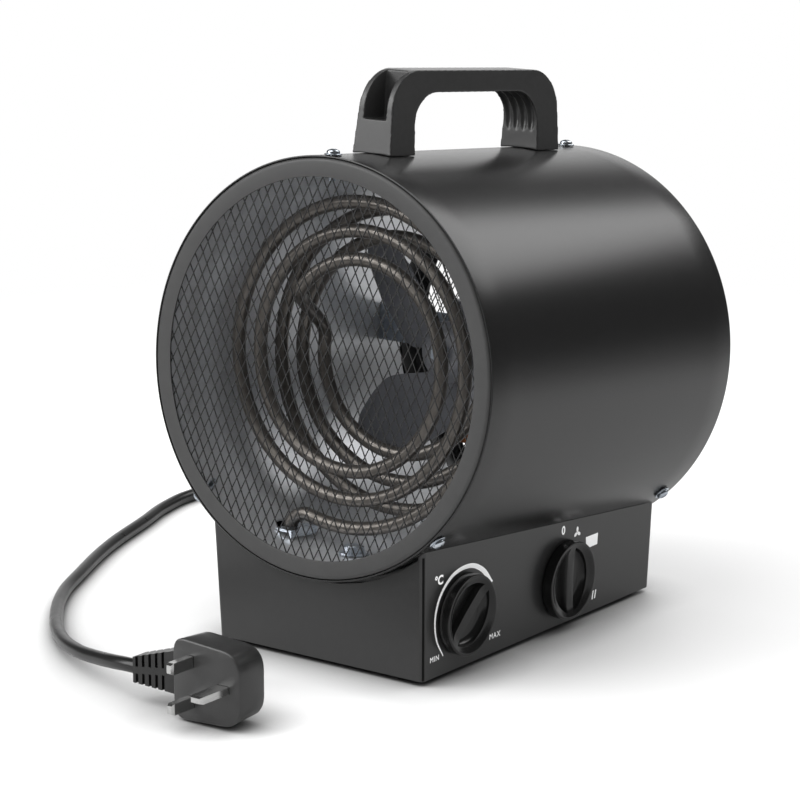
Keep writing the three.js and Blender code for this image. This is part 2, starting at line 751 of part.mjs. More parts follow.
function handle() {
  const width = handleFootHalfWidth * 2;
  const foot = drumRadius - handleFootDrop;
  // The outline is drawn in Y and Z and extruded along X
  const options = { depth: width, bevelEnabled: false, curveSegments: arcSteps };
  const bow = new THREE.ExtrudeGeometry(bowOutline(), options)
    .translate(0, 0, -width / 2)
    .applyMatrix4(new THREE.Matrix4().makeBasis(v3(0, 1, 0), v3(0, 0, 1), v3(1, 0, 0)));
  const taper = plateAcrossY(polygon([
    [-handleFootHalfWidth, foot], [handleFootHalfWidth, foot],
    [handleTopHalfWidth, handleTop + overrun], [-handleTopHalfWidth, handleTop + overrun],
  ]), -handleHalfFoot - overrun, handleHalfFoot + overrun);
  const pockets = [-1, 1].map((end) => block(-pocketHalfWidth, pocketHalfWidth,
    ...rising(end * pocketBack, end * (handleHalfFoot + overrun)), pocketFloor, handleTop + overrun));
  const flutes = [];
  for (let flute = 0; flute < fluteCount; flute += 1) {
    const x = (flute - (fluteCount - 1) / 2) * flutePitch;
    flutes.push(tubeAlong(flutePath(x), fluteRadius, smallSides, fluteSteps));
  }
  const screwBores = handleScrewPlaces.map((y) => rod(boreFor(handleScrewShank, smallSides),
    v3(0, y, foot - overrun), v3(0, y, drumBore + handleScrewLength), smallSides));
  const drumClear = discOf(drumRadius + gap, drumFront, drumRear);
  return cut(keep(bow, taper), drumClear, ...pockets, ...flutes, ...screwBores);
}

// Fan: a hub with paddle blades, each a thin twisted sheet closed at its edges
function fanBlade(index) {
  const rings = bladeStationShares.length;
  const places = [];
  for (const face of [-1, 1]) {
    for (let station = 0; station < rings; station += 1) {
      const radius = THREE.MathUtils.lerp(hubRadius - bladeRoot, fanRadius, bladeStationShares[station]);
      const lead = degToRad(bladeLeadDegrees[station]) + (index * FULL_TURN) / fanBlades;
      const width = degToRad(bladeWidthDegrees[station]);
      const middle = lead - width / 2;
      const twist = THREE.MathUtils.mapLinear(radius, hubRadius, fanRadius, bladeRootAngle, bladeTipAngle);
      for (let step = 0; step <= bladeChordSteps; step += 1) {
        const turn = width / 2 - (width * step) / bladeChordSteps;
        const axial = -turn * radius * Math.tan(twist) + (face * bladeThickness) / 2 / Math.cos(twist);
        const place = aroundDrum(middle + turn, radius, axial);
        places.push(place.x, place.y, place.z);
      }
    }
  }
  const row = bladeChordSteps + 1;
  const layer = rings * row;
  const triangles = [];
  const quad = (a, b, c, d) => triangles.push(a, b, c, a, c, d);
  for (let station = 0; station < rings - 1; station += 1) {
    for (let step = 0; step < bladeChordSteps; step += 1) {
      const near = station * row + step;
      quad(near, near + 1, near + row + 1, near + row);
      quad(layer + near, layer + near + row, layer + near + row + 1, layer + near + 1);
    }
    const start = station * row;
    const end = start + bladeChordSteps;
    quad(start, start + row, layer + start + row, layer + start);
    quad(end, layer + end, layer + end + row, end + row);
  }
  for (let step = 0; step < bladeChordSteps; step += 1) {
    const tip = (rings - 1) * row + step;
    quad(step, layer + step, layer + step + 1, step + 1);
    quad(tip, tip + 1, layer + tip + 1, layer + tip);
  }
  const geometry = new THREE.BufferGeometry();
  geometry.setAttribute('position', new THREE.Float32BufferAttribute(places, 3));
  geometry.setIndex(triangles);
  return geometry.translate(0, drumFront + fanDepth, 0);
}

const hubFront = drumFront + fanDepth - hubLength / 2;
const hubRear = drumFront + fanDepth + hubLength / 2;

function fanWheel() {
  const hub = revolve([
    [0, hubFront], [hubRadius * hubNoseShare, hubFront], [hubRadius, hubFront + hubNoseLength],
    [hubRadius, hubRear], [0, hubRear],
  ], roundSides);
  const blades = [];
  for (let blade = 0; blade < fanBlades; blade += 1) blades.push(fanBlade(blade));
  return cut(join(hub, ...blades),
    rod(boreFor(shaftRadius), v3(0, hubFront - overrun, 0), v3(0, hubRear + overrun, 0), roundSides));
}

function fanNut() {
  const near = hubFront - gap;
  const bore = rod(boreFor(shaftRadius), v3(0, near - nutThickness - overrun, 0),
    v3(0, near + overrun, 0), roundSides);
  return cut(rod(nutRadius, v3(0, near - nutThickness, 0), v3(0, near, 0), nutSides), bore);
}

// Motor
const bearingFront = hubRear + fanMotorGap;
const stackFront = bearingFront + endBracketThickness + endBracketLeg;
const stackRear = stackFront + statorStack;
const bearingRear = stackRear + endBracketLeg + endBracketThickness;
const mountFace = bearingRear + gap;

function motorRotor() {
  const front = hubFront - gap - nutThickness - gap * 2;
  return revolve([
    [0, front], [shaftRadius, front + gap], [shaftRadius, stackFront - rotorOverhang],
    [rotorRadius, stackFront - rotorOverhang], [rotorRadius, stackRear + rotorOverhang],
    [shaftRadius, stackRear + rotorOverhang], [shaftRadius, stackRear + shaftRearLength],
    [0, stackRear + shaftRearLength],
  ], roundSides);
}

function motorBoltHoles(y0, y1) {
  return [-1, 1].map((side) => rod(boreFor(motorBoltRadius, smallSides),
    v3(side * motorBoltOffset, y0 - overrun, 0), v3(side * motorBoltOffset, y1 + overrun, 0)));
}

function motorStator() {
  const stack = block(-statorHalfWidth, statorHalfWidth, stackFront, stackRear, statorBottom, statorTop);
  const bore = rod(statorBore, v3(0, stackFront - overrun, 0), v3(0, stackRear + overrun, 0), roundSides);
  const window = block(-windowHalfWidth, windowHalfWidth, stackFront - overrun, stackRear + overrun,
    windowBottom, windowTop);
  return cut(stack, bore, window, ...motorBoltHoles(stackFront, stackRear));
}

function motorCoil() {
  const [y0, y1] = [stackFront - gap, stackRear + gap];
  const [z0, z1] = [statorBottom - gap, windowBottom + gap];
  const halfLength = windowHalfWidth - coilEndGap;
  const outer = block(-halfLength, halfLength, y0 - coilWall, y1 + coilWall, z0 - coilWall, z1 + coilWall);
  return cut(outer, block(-halfLength - overrun, halfLength + overrun, y0, y1, z0, z1));
}

// End bracket: a bar across the stack on two posts, with a bearing in the middle
function endBracket(face, toward) {
  const barNear = face + toward * endBracketLeg;
  const barFar = barNear + toward * endBracketThickness;
  const bar = block(-statorHalfWidth, statorHalfWidth, ...rising(barNear, barFar),
    -endBracketHeight / 2, endBracketHeight / 2);
  const posts = [-1, 1].map((side) => block(
    ...rising(side * statorHalfWidth, side * (motorBoltOffset - motorBoltHead)),
    ...rising(face + toward * gap, barFar), -endBracketHeight / 2, endBracketHeight / 2));
  const bearing = rod(bearingRadius, v3(0, barNear - toward * (bearingLength - endBracketThickness), 0),
    v3(0, barFar, 0), roundSides);
  const bore = rod(boreFor(shaftRadius), v3(0, barNear - toward * (bearingLength + overrun), 0),
    v3(0, barFar + toward * overrun, 0), roundSides);
  return cut(join(bar, ...posts, bearing), bore, ...motorBoltHoles(...rising(face, barFar)));
}

function motorBolt(side) {
  const x = side * motorBoltOffset;
  const front = bearingFront - gap;
  const rear = mountFace + mountSheet + gap;
  return join(
    rod(motorBoltRadius, v3(x, front - motorBoltHeadHeight / 2, 0),
      v3(x, rear + motorBoltHeadHeight / 2, 0)),
    rod(motorBoltHead, v3(x, front - motorBoltHeadHeight, 0), v3(x, front, 0), nutSides),
    rod(motorBoltHead, v3(x, rear, 0), v3(x, rear + motorBoltHeadHeight, 0), nutSides));
}

// Mount strap across the drum, its ends folded back along the heat shield
function motorMount() {
  const rear = mountFace + mountSheet;
  const strap = block(-drumRadius, drumRadius, mountFace, rear, -mountHeight / 2, mountHeight / 2);
  const bore = linerBore - gap;
  const tabs = keep(sleeve(bore - mountSheet, bore, mountFace, mountFace + mountTab),
    block(-drumRadius, drumRadius, mountFace - overrun, mountFace + mountTab + overrun,
      -mountHeight / 2, mountHeight / 2));
  const hole = rod(bearingRadius, v3(0, mountFace - overrun, 0), v3(0, rear + overrun, 0), roundSides);
  return cut(join(keep(strap, discOf(bore, mountFace - overrun, rear + overrun)), tabs),
    hole, ...motorBoltHoles(mountFace, rear));
}

// Base
function roundedRectangle(halfWidth, front, rear, corner) {
  const places = [];
  const centres = [
    [halfWidth - corner, rear - corner, 0], [-halfWidth + corner, rear - corner, 1],
    [-halfWidth + corner, front + corner, 2], [halfWidth - corner, front + corner, 3],
  ];
  for (const [x, y, quarter] of centres) {
    for (let step = 0; step <= cornerSteps; step += 1) {
      const angle = ((quarter + step / cornerSteps) * Math.PI) / 2;
      places.push([x + corner * Math.cos(angle), y + corner * Math.sin(angle)]);
    }
  }
  return places;
}

// A wedge of sheet between two heights above the base's lower edge, set in from the outside
function leaningPrism(inset, z0, z1) {
  const outline = (z) => roundedRectangle(baseHalfWidth + sideLean * z - inset,
    baseFront - endLean * z + inset, baseRear + endLean * z - inset,
    Math.max(baseCorner - inset, baseCorner * innerCornerShare));
  const [low, high] = [outline(z0), outline(z1)];
  const count = low.length;
  const places = [...low.flatMap(([x, y]) => [x, y, footHeight + z0]),
    ...high.flatMap(([x, y]) => [x, y, footHeight + z1])];
  const triangles = [];
  for (let i = 0; i < count; i += 1) {
    const next = (i + 1) % count;
    triangles.push(i, next, count + next, i, count + next, count + i);
    if (i > 1) triangles.push(0, i, i - 1, count, count + i - 1, count + i);
  }
  const geometry = new THREE.BufferGeometry();
  geometry.setAttribute('position', new THREE.Float32BufferAttribute(places, 3));
  geometry.setIndex(triangles);
  return geometry;
}

// The side panel's outward normal and a place on it
const panelNormal = v3(1, 0, -sideLean).normalize();
const onPanel = (y, z, out = 0) =>
  v3(baseHalfWidth + sideLean * z, y, footHeight + z).addScaledVector(panelNormal, out);

// Height of the drum's underside over the floor, at a place across and along the base
function drumUnderside(x, y) {
  const drop = Math.sqrt((drumRadius + gap) ** 2 - x * x) / Math.cos(drumTilt);
  return axisHeight - y * Math.tan(drumTilt) - drop;
}

const controlHeight = (y) => controlHeightShare * (drumUnderside(baseHalfWidth, y) - footHeight);
const thermostatAt = (out) => onPanel(thermostatY, controlHeight(thermostatY), out);
const selectorAt = (out) => onPanel(selectorY, controlHeight(selectorY), out);

// The room that the drum and a margin round it take, between two heights along Y
function drumRoom(margin, y0 = -Infinity, y1 = Infinity) {
  const whole = inDrumFrame(discOf(drumRadius + margin, drumFront - longOverrun, drumRear + longOverrun));
  const [near, far] = [Math.max(y0, drumFront - longOverrun), Math.min(y1, drumRear + longOverrun)];
  return keep(whole, block(-drumRadius, drumRadius, near, far, 0, axisHeight));
}

function baseTub() {
  const walls = cut(leaningPrism(0, 0, baseHeight), leaningPrism(baseWall, -overrun, baseHeight + overrun));
  const between = block(baseWall - baseHalfWidth, baseHalfWidth - baseWall,
    drumFront - longOverrun, drumRear + longOverrun, 0, axisHeight);
  const frontArc = keep(drumRoom(frontArcGap, -Infinity, baseFront + baseCorner), between);
  const rearArc = keep(drumRoom(rearArcGap, baseRear - baseCorner), between);
  const rearCorners = drumRoom(rearArcGap, baseRear + baseWall / 2);
  const stemHole = (at) =>
    rod(knobBossRadius + panelHoleGap, at(-baseWall - overrun), at(overrun), roundSides);
  const glandHole = rod(glandNeck + gap, v3(glandX, baseRear - baseWall - overrun, glandZ),
    v3(glandX, baseRear + overrun * 2, glandZ), roundSides);
  return cut(walls, drumRoom(gap), frontArc, rearArc, rearCorners,
    stemHole(thermostatAt), stemHole(selectorAt), glandHole);
}

function basePlate() {
  const inset = baseWall + gap;
  const pan = cut(leaningPrism(inset, 0, plateLip),
    leaningPrism(inset + plateThickness, plateThickness, plateLip + overrun));
  return cut(pan, ...footPlaces.map(({ x, y }) =>
    rod(footStud + gap, v3(x, y, footHeight - overrun), v3(x, y, footHeight + plateLip), smallSides)));
}

const footPlaces = [
  { name: 'foot_front_left', x: -1, y: baseFront + footInset },
  { name: 'foot_front_right', x: 1, y: baseFront + footInset },
  { name: 'foot_rear_left', x: -1, y: baseRear - footInset },
  { name: 'foot_rear_right', x: 1, y: baseRear - footInset },
].map((foot) => ({ ...foot, x: foot.x * (baseHalfWidth - footInset) }));

// A rubber foot with a barbed stud pressed through the base plate
function foot({ x, y }) {
  const plateTop = footHeight + plateThickness + gap;
  return revolve([
    [0, 0], [footRadius * footSoleShare, 0], [footRadius, footHeight * footChamferShare],
    [footRadius, footHeight - gap], [footStud, footHeight - gap], [footStud, plateTop],
    [footBarb, plateTop], [footStud, footHeight + footStudLength], [0, footHeight + footStudLength],
  ], smallSides).rotateX(Math.PI / 2).translate(x, y, 0);
}

function saddle({ toward, innerY, middle }) {
  const outerRadius = drumRadius + gap + saddleStrip;
  const [y0, y1] = rising(innerY, innerY + toward * saddleLength);
  const [w0, w1] = rising(innerY, innerY + toward * saddleStrip);
  const strip = sleeve(drumRadius + gap, outerRadius, y0, y1);
  const web = sleeve(outerRadius - saddleStrip / 2, outerRadius + saddleDepth, w0, w1);
  const room = keep(leaningPrism(baseWall + gap, plateLip, baseHeight),
    block(-baseHalfWidth, baseHalfWidth, baseFront, baseRear, 0, axisHeight - drumRadius * saddleTopShare));
  const holes = screwHolesThrough(drumRadius, outerRadius, middle, saddleAngles, screwHoleRadius);
  const glandRoom = rod(glandFlangeRadius + glandNotchGap, v3(glandX, 0, glandZ),
    v3(glandX, baseRear, glandZ), roundSides);
  const bed = cut(join(strip, web), ...holes, ...legPlaces.map(legHole)).transform(drum.matrix.elements);
  return cut(keep(bed, room), glandRoom);
}

function saddleScrew(angle, y) {
  const seat = aroundDrum(angle, drumBore - washerSeat, y);
  return turnedAt(panScrew(saddleScrewLength), seat, aroundDrum(angle, -1, 0), smallSides);
}

// Knob: a low disc with a raised rim and a dished face; a bar between two scoops is the grip
function knob(at, pointer) {
  const turn = knobProfileTurn(at(0), pointer);
  const base = knobStandOff;
  const body = revolve([
    [0, -knobBossLength], [knobBossRadius, -knobBossLength], [knobBossRadius, base],
    [knobRadius - knobEdge, base], [knobRadius, base + knobEdge], [knobRadius, knobHeight * knobWaistShare],
    [(knobRadius + knobRim) / 2 + knobEdge, knobHeight * knobShoulderShare], [knobRim, knobHeight],
    [knobDish, (knobHeight + knobFace) / 2], [knobDish - knobEdge, knobFace], [0, knobFace],
  ], knobSides);
  const pocket = cut(lensPrism(knobFace - knobPocketDepth, knobFace + overrun),
    block(-knobBarWidth / 2, knobBarWidth / 2, 0, knobHeight, -knobRadius, knobRadius));
  const bore = rod(boreFor(stemRadius), v3(0, -knobBossLength - overrun, 0),
    v3(0, stemBoreDepth - knobStandOff, 0), roundSides);
  return cut(body, pocket, bore).transform(turn.elements);
}

// A pointed oval in XZ, standing between two heights along Y
function lensPrism(y0, y1) {
  const radius = (knobPocketHalfLength ** 2 + knobPocketHalfWidth ** 2) / (2 * knobPocketHalfWidth);
  const half = Math.asin(knobPocketHalfLength / radius);
  const shape = new THREE.Shape();
  shape.absarc(radius - knobPocketHalfWidth, 0, radius, Math.PI - half, Math.PI + half, false);
  shape.absarc(knobPocketHalfWidth - radius, 0, radius, -half, half, false);
  return plateAcrossY(shape, y0, y1, arcSteps);
}

// Puts a knob's own axis, +Y, on the panel's normal and turns its pointer from the vertical
function knobProfileTurn(place, pointer) {
  const upPanel = v3(0, 0, 1).addScaledVector(panelNormal, -panelNormal.z).normalize();
  const along = upPanel.clone().applyAxisAngle(panelNormal, -pointer);
  const across = panelNormal.clone().cross(along);
  return new THREE.Matrix4().makeBasis(across, panelNormal, along).setPosition(place);
}

const stemSeat = -controlGap - baseWall;

function controlStem(at, bodyLength) {
  return rod(stemRadius, at(stemSeat - bodyLength / 2), at(-gap * 2), roundSides);
}

function controlBody(at, shape, bodyLength) {
  const bush = rod(controlBushRadius, at(stemSeat - gap), at(-baseWall - gap - knobBossLength), roundSides);
  const bore = rod(boreFor(stemRadius), at(stemSeat - bodyLength / 2 - gap), at(overrun), roundSides);
  const bossRoom = rod(boreFor(knobBossRadius), at(-knobBossLength - gap), at(overrun), roundSides);
  return cut(join(shape, bush), bore, bossRoom);
}

const bodySeat = stemSeat - knobBossLength;

// The flange that a control's body holds against the panel
const controlFlange = (at, bodyRadius) =>
  rod(bodyRadius * controlFlangeShare, at(-baseWall - gap), at(bodySeat - gap), roundSides);

function thermostatBody() {
  const shape = rod(thermostatBodyRadius, thermostatAt(bodySeat),
    thermostatAt(bodySeat - thermostatBodyLength), roundSides);
  const flange = controlFlange(thermostatAt, thermostatBodyRadius);
  return controlBody(thermostatAt, join(shape, flange), thermostatBodyLength);
}

function selectorBody() {
  const half = selectorBodySize / 2;
  const shape = block(-half, half, bodySeat - selectorBodyLength, bodySeat, -half, half)
    .applyMatrix4(knobProfileTurn(selectorAt(0), 0));
  return controlBody(selectorAt, join(shape, controlFlange(selectorAt, half)), selectorBodyLength);
}

// Terminal block on the base plate, with a screw well for each way
function terminalBlock() {
  const floorZ = footHeight + plateThickness + gap;
  const body = block(terminalX - terminalLength / 2, terminalX + terminalLength / 2,
    terminalY - terminalWidth / 2, terminalY + terminalWidth / 2, floorZ, floorZ + terminalHeight);
  const wells = [];
  const pitch = terminalLength / terminalWays;
  for (let way = 0; way < terminalWays; way += 1) {
    const x = terminalX + (way - (terminalWays - 1) / 2) * pitch;
    const middle = floorZ + terminalHeight / 2;
    wells.push(rod(pitch * terminalWellShare, v3(x, terminalY, middle),
      v3(x, terminalY, floorZ + terminalHeight + overrun), smallSides));
    wells.push(block(x - pitch * terminalSlotShare, x + pitch * terminalSlotShare, terminalY - terminalWidth,
      terminalY - terminalWidth * terminalWellShare, middle - terminalHeight * terminalSlotShare, middle));
  }
  return cut(body, ...wells);
}

// Cable gland in the rear wall, with a tapered strain relief outside
const glandZ = glandHeightShare * drumUnderside(glandX, baseRear);
const rearWallY = baseRear + endLean * (glandZ - footHeight);

function cableGland() {
  const bore = boreFor(cordRadius);
  const [inside, outside] = [-baseWall - gap * 2, gap * 2];
  const profile = [
    [bore, inside - glandFlange], [glandFlangeRadius, inside - glandFlange], [glandFlangeRadius, inside],
    [glandNeck - gap, inside], [glandNeck - gap, outside], [glandFlangeRadius, outside],
    [glandFlangeRadius, outside + glandFlange], [glandNeck, outside + glandFlange],
    [glandTip, glandLength], [bore, glandLength], [bore, inside - glandFlange],
  ];
  return revolve(profile, roundSides).translate(glandX, rearWallY, glandZ);
}

// Cord: each free stretch is a tube along hand-chosen places, the stored length is a coil
const cordFloor = cordRadius + cordRest; // height of the cord's centre when it lies on the floor
const coilY = rearWallY + coilBehind;
const leadInside = 14; // where the cord starts, inside the rear wall
const cordJoint = 0.6; // between two stretches of the cord
const coilEntryX = coilX + coilRadius + coilPitch * coilTurnsIn;
const coilEntryY = coilY - coilStraight - cordJoint;
const leadStraight = 36; // straight run of the cord behind the rear wall
// From the gland down to the coil's entry: shares of the way left, of the way back and of the
// gland's height over the floor
const leadPoints = [
  ...[-leadInside, 6, 27].map((behind) => [glandX, rearWallY + behind, glandZ]),
  ...[
    [0, 0, 1], [0.064, 0.1552, 0.876], [0.224, 0.3234, 0.582], [0.528, 0.4787, 0.254],
    [0.848, 0.6339, 0.028], [0.984, 0.7762, 0], [1, 0.8965, 0], [1, 1, 0],
  ].map(([left, back, height]) => [
    THREE.MathUtils.lerp(glandX, coilEntryX, left),
    THREE.MathUtils.lerp(rearWallY + leadStraight, coilEntryY, back),
    THREE.MathUtils.lerp(cordFloor, glandZ, height),
  ]),
];
const coilExitY = coilY + coilRadius + coilPitch * coilTurnsOut;
const plugCordX = plugX + plugCableSide - gap - reliefLength;
const plugCordY = plugFaceY + reliefFromFace;
const plugCordZ = plugAxisZ - reliefDrop;
const runPoints = [
  // off the coil's top layer down to the floor: distance left, distance inward, share of its lift
  ...[
    [coilStraight + cordJoint, 0, 1], [17, 0, 1], [30, 0.4, 0.966], [44, 2, 0.865], [59, 5.2, 0.528],
    [74, 10.2, 0.169], [89, 16.8, 0.034], [108, 29.2, 0],
  ].map(([left, inward, lift]) => [coilX - left, coilExitY - inward, cordFloor + coilLift * lift]),
  // round the heater on the floor
  [-234, 228, cordFloor], [-262, 190, cordFloor], [-283, 150, cordFloor], [-292, 108, cordFloor],
  [-285, 70, cordFloor], [-272, 36, cordFloor], [-250, -23, cordFloor], [-221, -82, cordFloor],
  [-201, -118, cordFloor], [-170, -157, 4.6], [-137, -188, 6.4],
  // up to the plug's relief: distances from its tip
  ...[
    [62.9, 19, 7.7], [38.9, 9, 4.5], [19.9, 2.4, 1.5], [9.9, 0.4, 0.3], [2.9, 0, 0], [cordJoint, 0, 0],
  ].map(([left, back, down]) => [plugCordX - left, plugCordY + back, plugCordZ - down]),
];

const curveThrough = (points) =>
  new THREE.CatmullRomCurve3(points.map(([x, y, z]) => v3(x, y, z)), false, 'centripetal');

function cordTube(points, sides = cordSides) {
  const curve = curveThrough(points);
  return tubeAlong(curve, cordRadius, sides, Math.round(curve.getLength() / (cordRadius * cordStep)));
}

// The coil spirals in on the floor and out again on top, and climbs a layer in the half turn
// where it reverses; both ends run straight
class CoilPath extends THREE.Curve {
  constructor() {
    super();
    this.turns = coilTurnsIn + coilTurnsOut;
    const meanRadius = coilRadius + (coilPitch * this.turns) / 4;
    this.wound = this.turns * FULL_TURN * meanRadius;
    this.whole = this.wound + coilStraight * 2;
  }

  woundPoint(turned, target) {
    const past = turned - coilTurnsIn;
    const climb = THREE.MathUtils.clamp((past + coilClimbTurns / 2) / coilClimbTurns, 0, 1);
    const radius = coilRadius + coilPitch * Math.abs(past);
    const angle = turned * FULL_TURN;
    const z = cordFloor + coilLift * THREE.MathUtils.smoothstep(climb, 0, 1);
    return target.set(coilX + radius * Math.cos(angle), coilY + radius * Math.sin(angle), z);
  }

  getPoint(share, target = v3(0, 0, 0)) {
    const along = share * this.whole - coilStraight;
    if (along < 0) return this.woundPoint(0, target).add(v3(0, along, 0));
    if (along > this.wound) return this.woundPoint(this.turns, target).add(v3(this.wound - along, 0, 0));
    return this.woundPoint((along / this.wound) * this.turns, target);
  }
}

function cordCoil() {
  const path = new CoilPath();
  return tubeAlong(path, cordRadius, coilSides, Math.round(path.turns * coilLoopSteps) + 2);
}

// Least distance between the coil's surfaces where it passes itself
function coilLeastGap() {
  const path = new CoilPath();
  const samples = Math.round(path.turns * coilLoopSteps * coilProbe);
  const places = Array.from({ length: samples + 1 }, (_, i) => path.getPoint(i / samples));
  let least = Infinity;
  for (let i = 0; i <= samples; i += 1) {
    for (let j = i + coilLoopSteps * 2; j <= samples; j += 1) {
      least = Math.min(least, places[i].distanceTo(places[j]));
    }
  }
  return least - cordRadius * 2;
}

// Plug: a moulded body, wide at the cable end, with three pins on its face
function plugBody() {
  const shape = new THREE.Shape();
  const [left, right] = [plugCableSide + plugCableCorner, plugEarthSide - plugEarthCorner];
  const [cableZ, earthZ] = [plugHalfHeight - plugCableCorner, plugEndHalfHeight - plugEarthCorner];
  shape.moveTo(plugCableSide, -cableZ);
  shape.lineTo(plugCableSide, cableZ);
  shape.absarc(left, cableZ, plugCableCorner, Math.PI, Math.PI / 2, true);
  shape.lineTo(right, plugEndHalfHeight);
  shape.absarc(right, earthZ, plugEarthCorner, Math.PI / 2, 0, true);
  shape.lineTo(plugEarthSide, -earthZ);
  shape.absarc(right, -earthZ, plugEarthCorner, 0, -Math.PI / 2, true);
  shape.lineTo(left, -plugHalfHeight);
  shape.absarc(left, -cableZ, plugCableCorner, -Math.PI / 2, -Math.PI, true);
  const body = plateAcrossY(shape, 0, plugDepth, arcSteps / 2);
  const sockets = plugPins().map(({ x, z, width, height }) => block(
    x - width / 2 - gap, x + width / 2 + gap, -overrun, pinSeat + gap,
    z - height / 2 - gap, z + height / 2 + gap));
  return cut(body, ...sockets).translate([plugX, plugFaceY, plugAxisZ]);
}

function plugPins() {
  const small = { x: 0, width: pinThickness, height: pinWidth, length: pinLength };
  return [
    { name: 'live_pin', z: -pinSpacing / 2, ...small },
    { name: 'neutral_pin', z: pinSpacing / 2, ...small },
    { name: 'earth_pin', x: pinSpacing, z: 0, width: earthWidth, height: pinThickness, length: earthLength },
  ];
}

function plugPin({ x, z, width, height, length }) {
  const tip = new THREE.CylinderGeometry(Math.SQRT1_2 * pinTipShare, Math.SQRT1_2, 1, 4, 1)
    .rotateY(Math.PI / 4).scale(width, pinThickness / 2, height).rotateX(Math.PI)
    .translate(x, pinThickness / 4 - length, z);
  const blade = block(x - width / 2, x + width / 2, pinThickness / 2 - length, pinSeat,
    z - height / 2, z + height / 2);
  return join(blade, tip).translate([plugX, plugFaceY, plugAxisZ]);
}

// The cord's moulded relief: a flat taper that bends down a little, with short slots on both faces
function plugRelief() {
  const root = plugX + plugCableSide - gap;
  const tip = root - reliefLength;
  const y = plugFaceY + reliefFromFace;
  const lerpTo = THREE.MathUtils.mapLinear;
  const axisAt = (x) => lerpTo(x, root, tip, plugAxisZ, plugAxisZ - reliefDrop);
  const halfDepthAt = (x) => lerpTo(x, root, tip, reliefRootHalfDepth, reliefTipHalfDepth);
  const halfHeightAt = (x) => lerpTo(x, root, tip, reliefRootHalfHeight, reliefTipHalfHeight);
  const section = (x) => [[-1, -1], [1, -1], [1, 1], [-1, 1]].flatMap(([a, b]) =>
    [x, y + a * halfDepthAt(x), axisAt(x) + b * halfHeightAt(x)]);
  const geometry = new THREE.BufferGeometry();
  const corners = [...section(root), ...section(tip)];
  geometry.setAttribute('position', new THREE.Float32BufferAttribute(corners, 3));
  geometry.setIndex([
    0, 1, 2, 0, 2, 3, 4, 6, 5, 4, 7, 6,
    0, 4, 5, 0, 5, 1, 1, 5, 6, 1, 6, 2, 2, 6, 7, 2, 7, 3, 3, 7, 4, 3, 4, 0,
  ]);
  const slots = [];
  for (let slot = 0; slot < reliefSlots; slot += 1) {
    const x = tip + reliefSlotWidth + slot * reliefSlotPitch;
    for (const face of [-1, 1]) {
      for (const row of [-1, 1]) {
        slots.push(block(x, x + reliefSlotWidth,
          ...rising(y + face * (halfDepthAt(x) - reliefSlotDepth), y + face * (halfDepthAt(x) + overrun)),
          ...rising(axisAt(x) + row * reliefSlotWidth, axisAt(x) + row * (halfHeightAt(x) + overrun))));
      }
    }
  }
  return cut(geometry, ...slots);
}

// Assembly
const heater = new THREE.Group();
heater.add(drum);

addPiece(drum, 'drum_shell', drumShell(), satinBlack);
addPiece(drum, 'inner_liner', innerLiner(), shieldGrey);
addPiece(drum, 'front_ring', endRing(drumFront, 1, frontFlangeLength, frontScrewY), ringGrey);
addPiece(drum, 'rear_ring', endRing(drumRear, -1, rearFlangeLength, rearScrewY), ringGrey);
addPiece(drum, 'front_grille', diamondMesh(drumFront, 1, frontCellWidth, frontCellHeight), meshBlack);
addPiece(drum, 'rear_grille', diamondMesh(drumRear, -1, rearCellWidth, rearCellHeight), meshBlack);
shellScrewAngles.forEach((angle, i) => {
  for (const [end, y] of [['front', frontScrewY], ['rear', rearScrewY]]) {
    const screw = turnedAt(panScrew(shellScrewLength), aroundDrum(angle, drumRadius + gap, y),
      aroundDrum(angle, 1, 0), smallSides);
    addPiece(drum, `shell_screw_${shellScrewNames[i]}_${end}`, screw, zinc);
  }
});
addPiece(drum, 'handle', handle(), mouldedBlack);
for (const [end, y] of [['front', -handleScrewY], ['rear', handleScrewY]]) {
  const screw = turnedAt(panScrew(handleScrewLength - washerThickness * 2, handleScrewShank),
    v3(0, y, drumBore - washerSeat), v3(0, 0, -1), smallSides);
  addPiece(drum, `handle_screw_${end}`, screw, zinc);
}
addPiece(drum, 'heating_element', heatingElement(), sheathSteel);
for (const place of legPlaces) addPiece(drum, `element_bracket_${place.side}`, elementBracket(place), zinc);
addPiece(drum, 'thermal_cutout', cutout(), zinc);
addPiece(drum, 'fan_wheel', fanWheel(), mouldedBlack);
addPiece(drum, 'fan_nut', fanNut(), zinc);
addPiece(drum, 'motor_rotor', motorRotor(), laminated);
addPiece(drum, 'motor_stator', motorStator(), laminated);
addPiece(drum, 'motor_coil', motorCoil(), copper);
addPiece(drum, 'motor_front_bracket', endBracket(stackFront, -1), zinc);
addPiece(drum, 'motor_rear_bracket', endBracket(stackRear, 1), zinc);
addPiece(drum, 'motor_bolt_left', motorBolt(-1), zinc);
addPiece(drum, 'motor_bolt_right', motorBolt(1), zinc);
addPiece(drum, 'motor_mount', motorMount(), zinc);
for (const { name, middle } of saddleRows) {
  saddleAngles.forEach((angle, i) => {
    addPiece(drum, `saddle_screw_${name}_${i === 0 ? 'right' : 'left'}`, saddleScrew(angle, middle), zinc);
  });
}
for (const row of saddleRows) addPiece(heater, `${row.name}_saddle`, saddle(row), satinBlack);
addPiece(heater, 'base_tub', baseTub(), satinBlack);
addPiece(heater, 'base_plate', basePlate(), satinBlack);
for (const place of footPlaces) addPiece(heater, place.name, foot(place), rubber);
addPiece(heater, 'thermostat_knob', knob(thermostatAt, thermostatPointer), glossBlack);
addPiece(heater, 'thermostat_stem', controlStem(thermostatAt, thermostatBodyLength), zinc);
addPiece(heater, 'thermostat_body', thermostatBody(), insulator);
addPiece(heater, 'selector_knob', knob(selectorAt, 0), glossBlack);
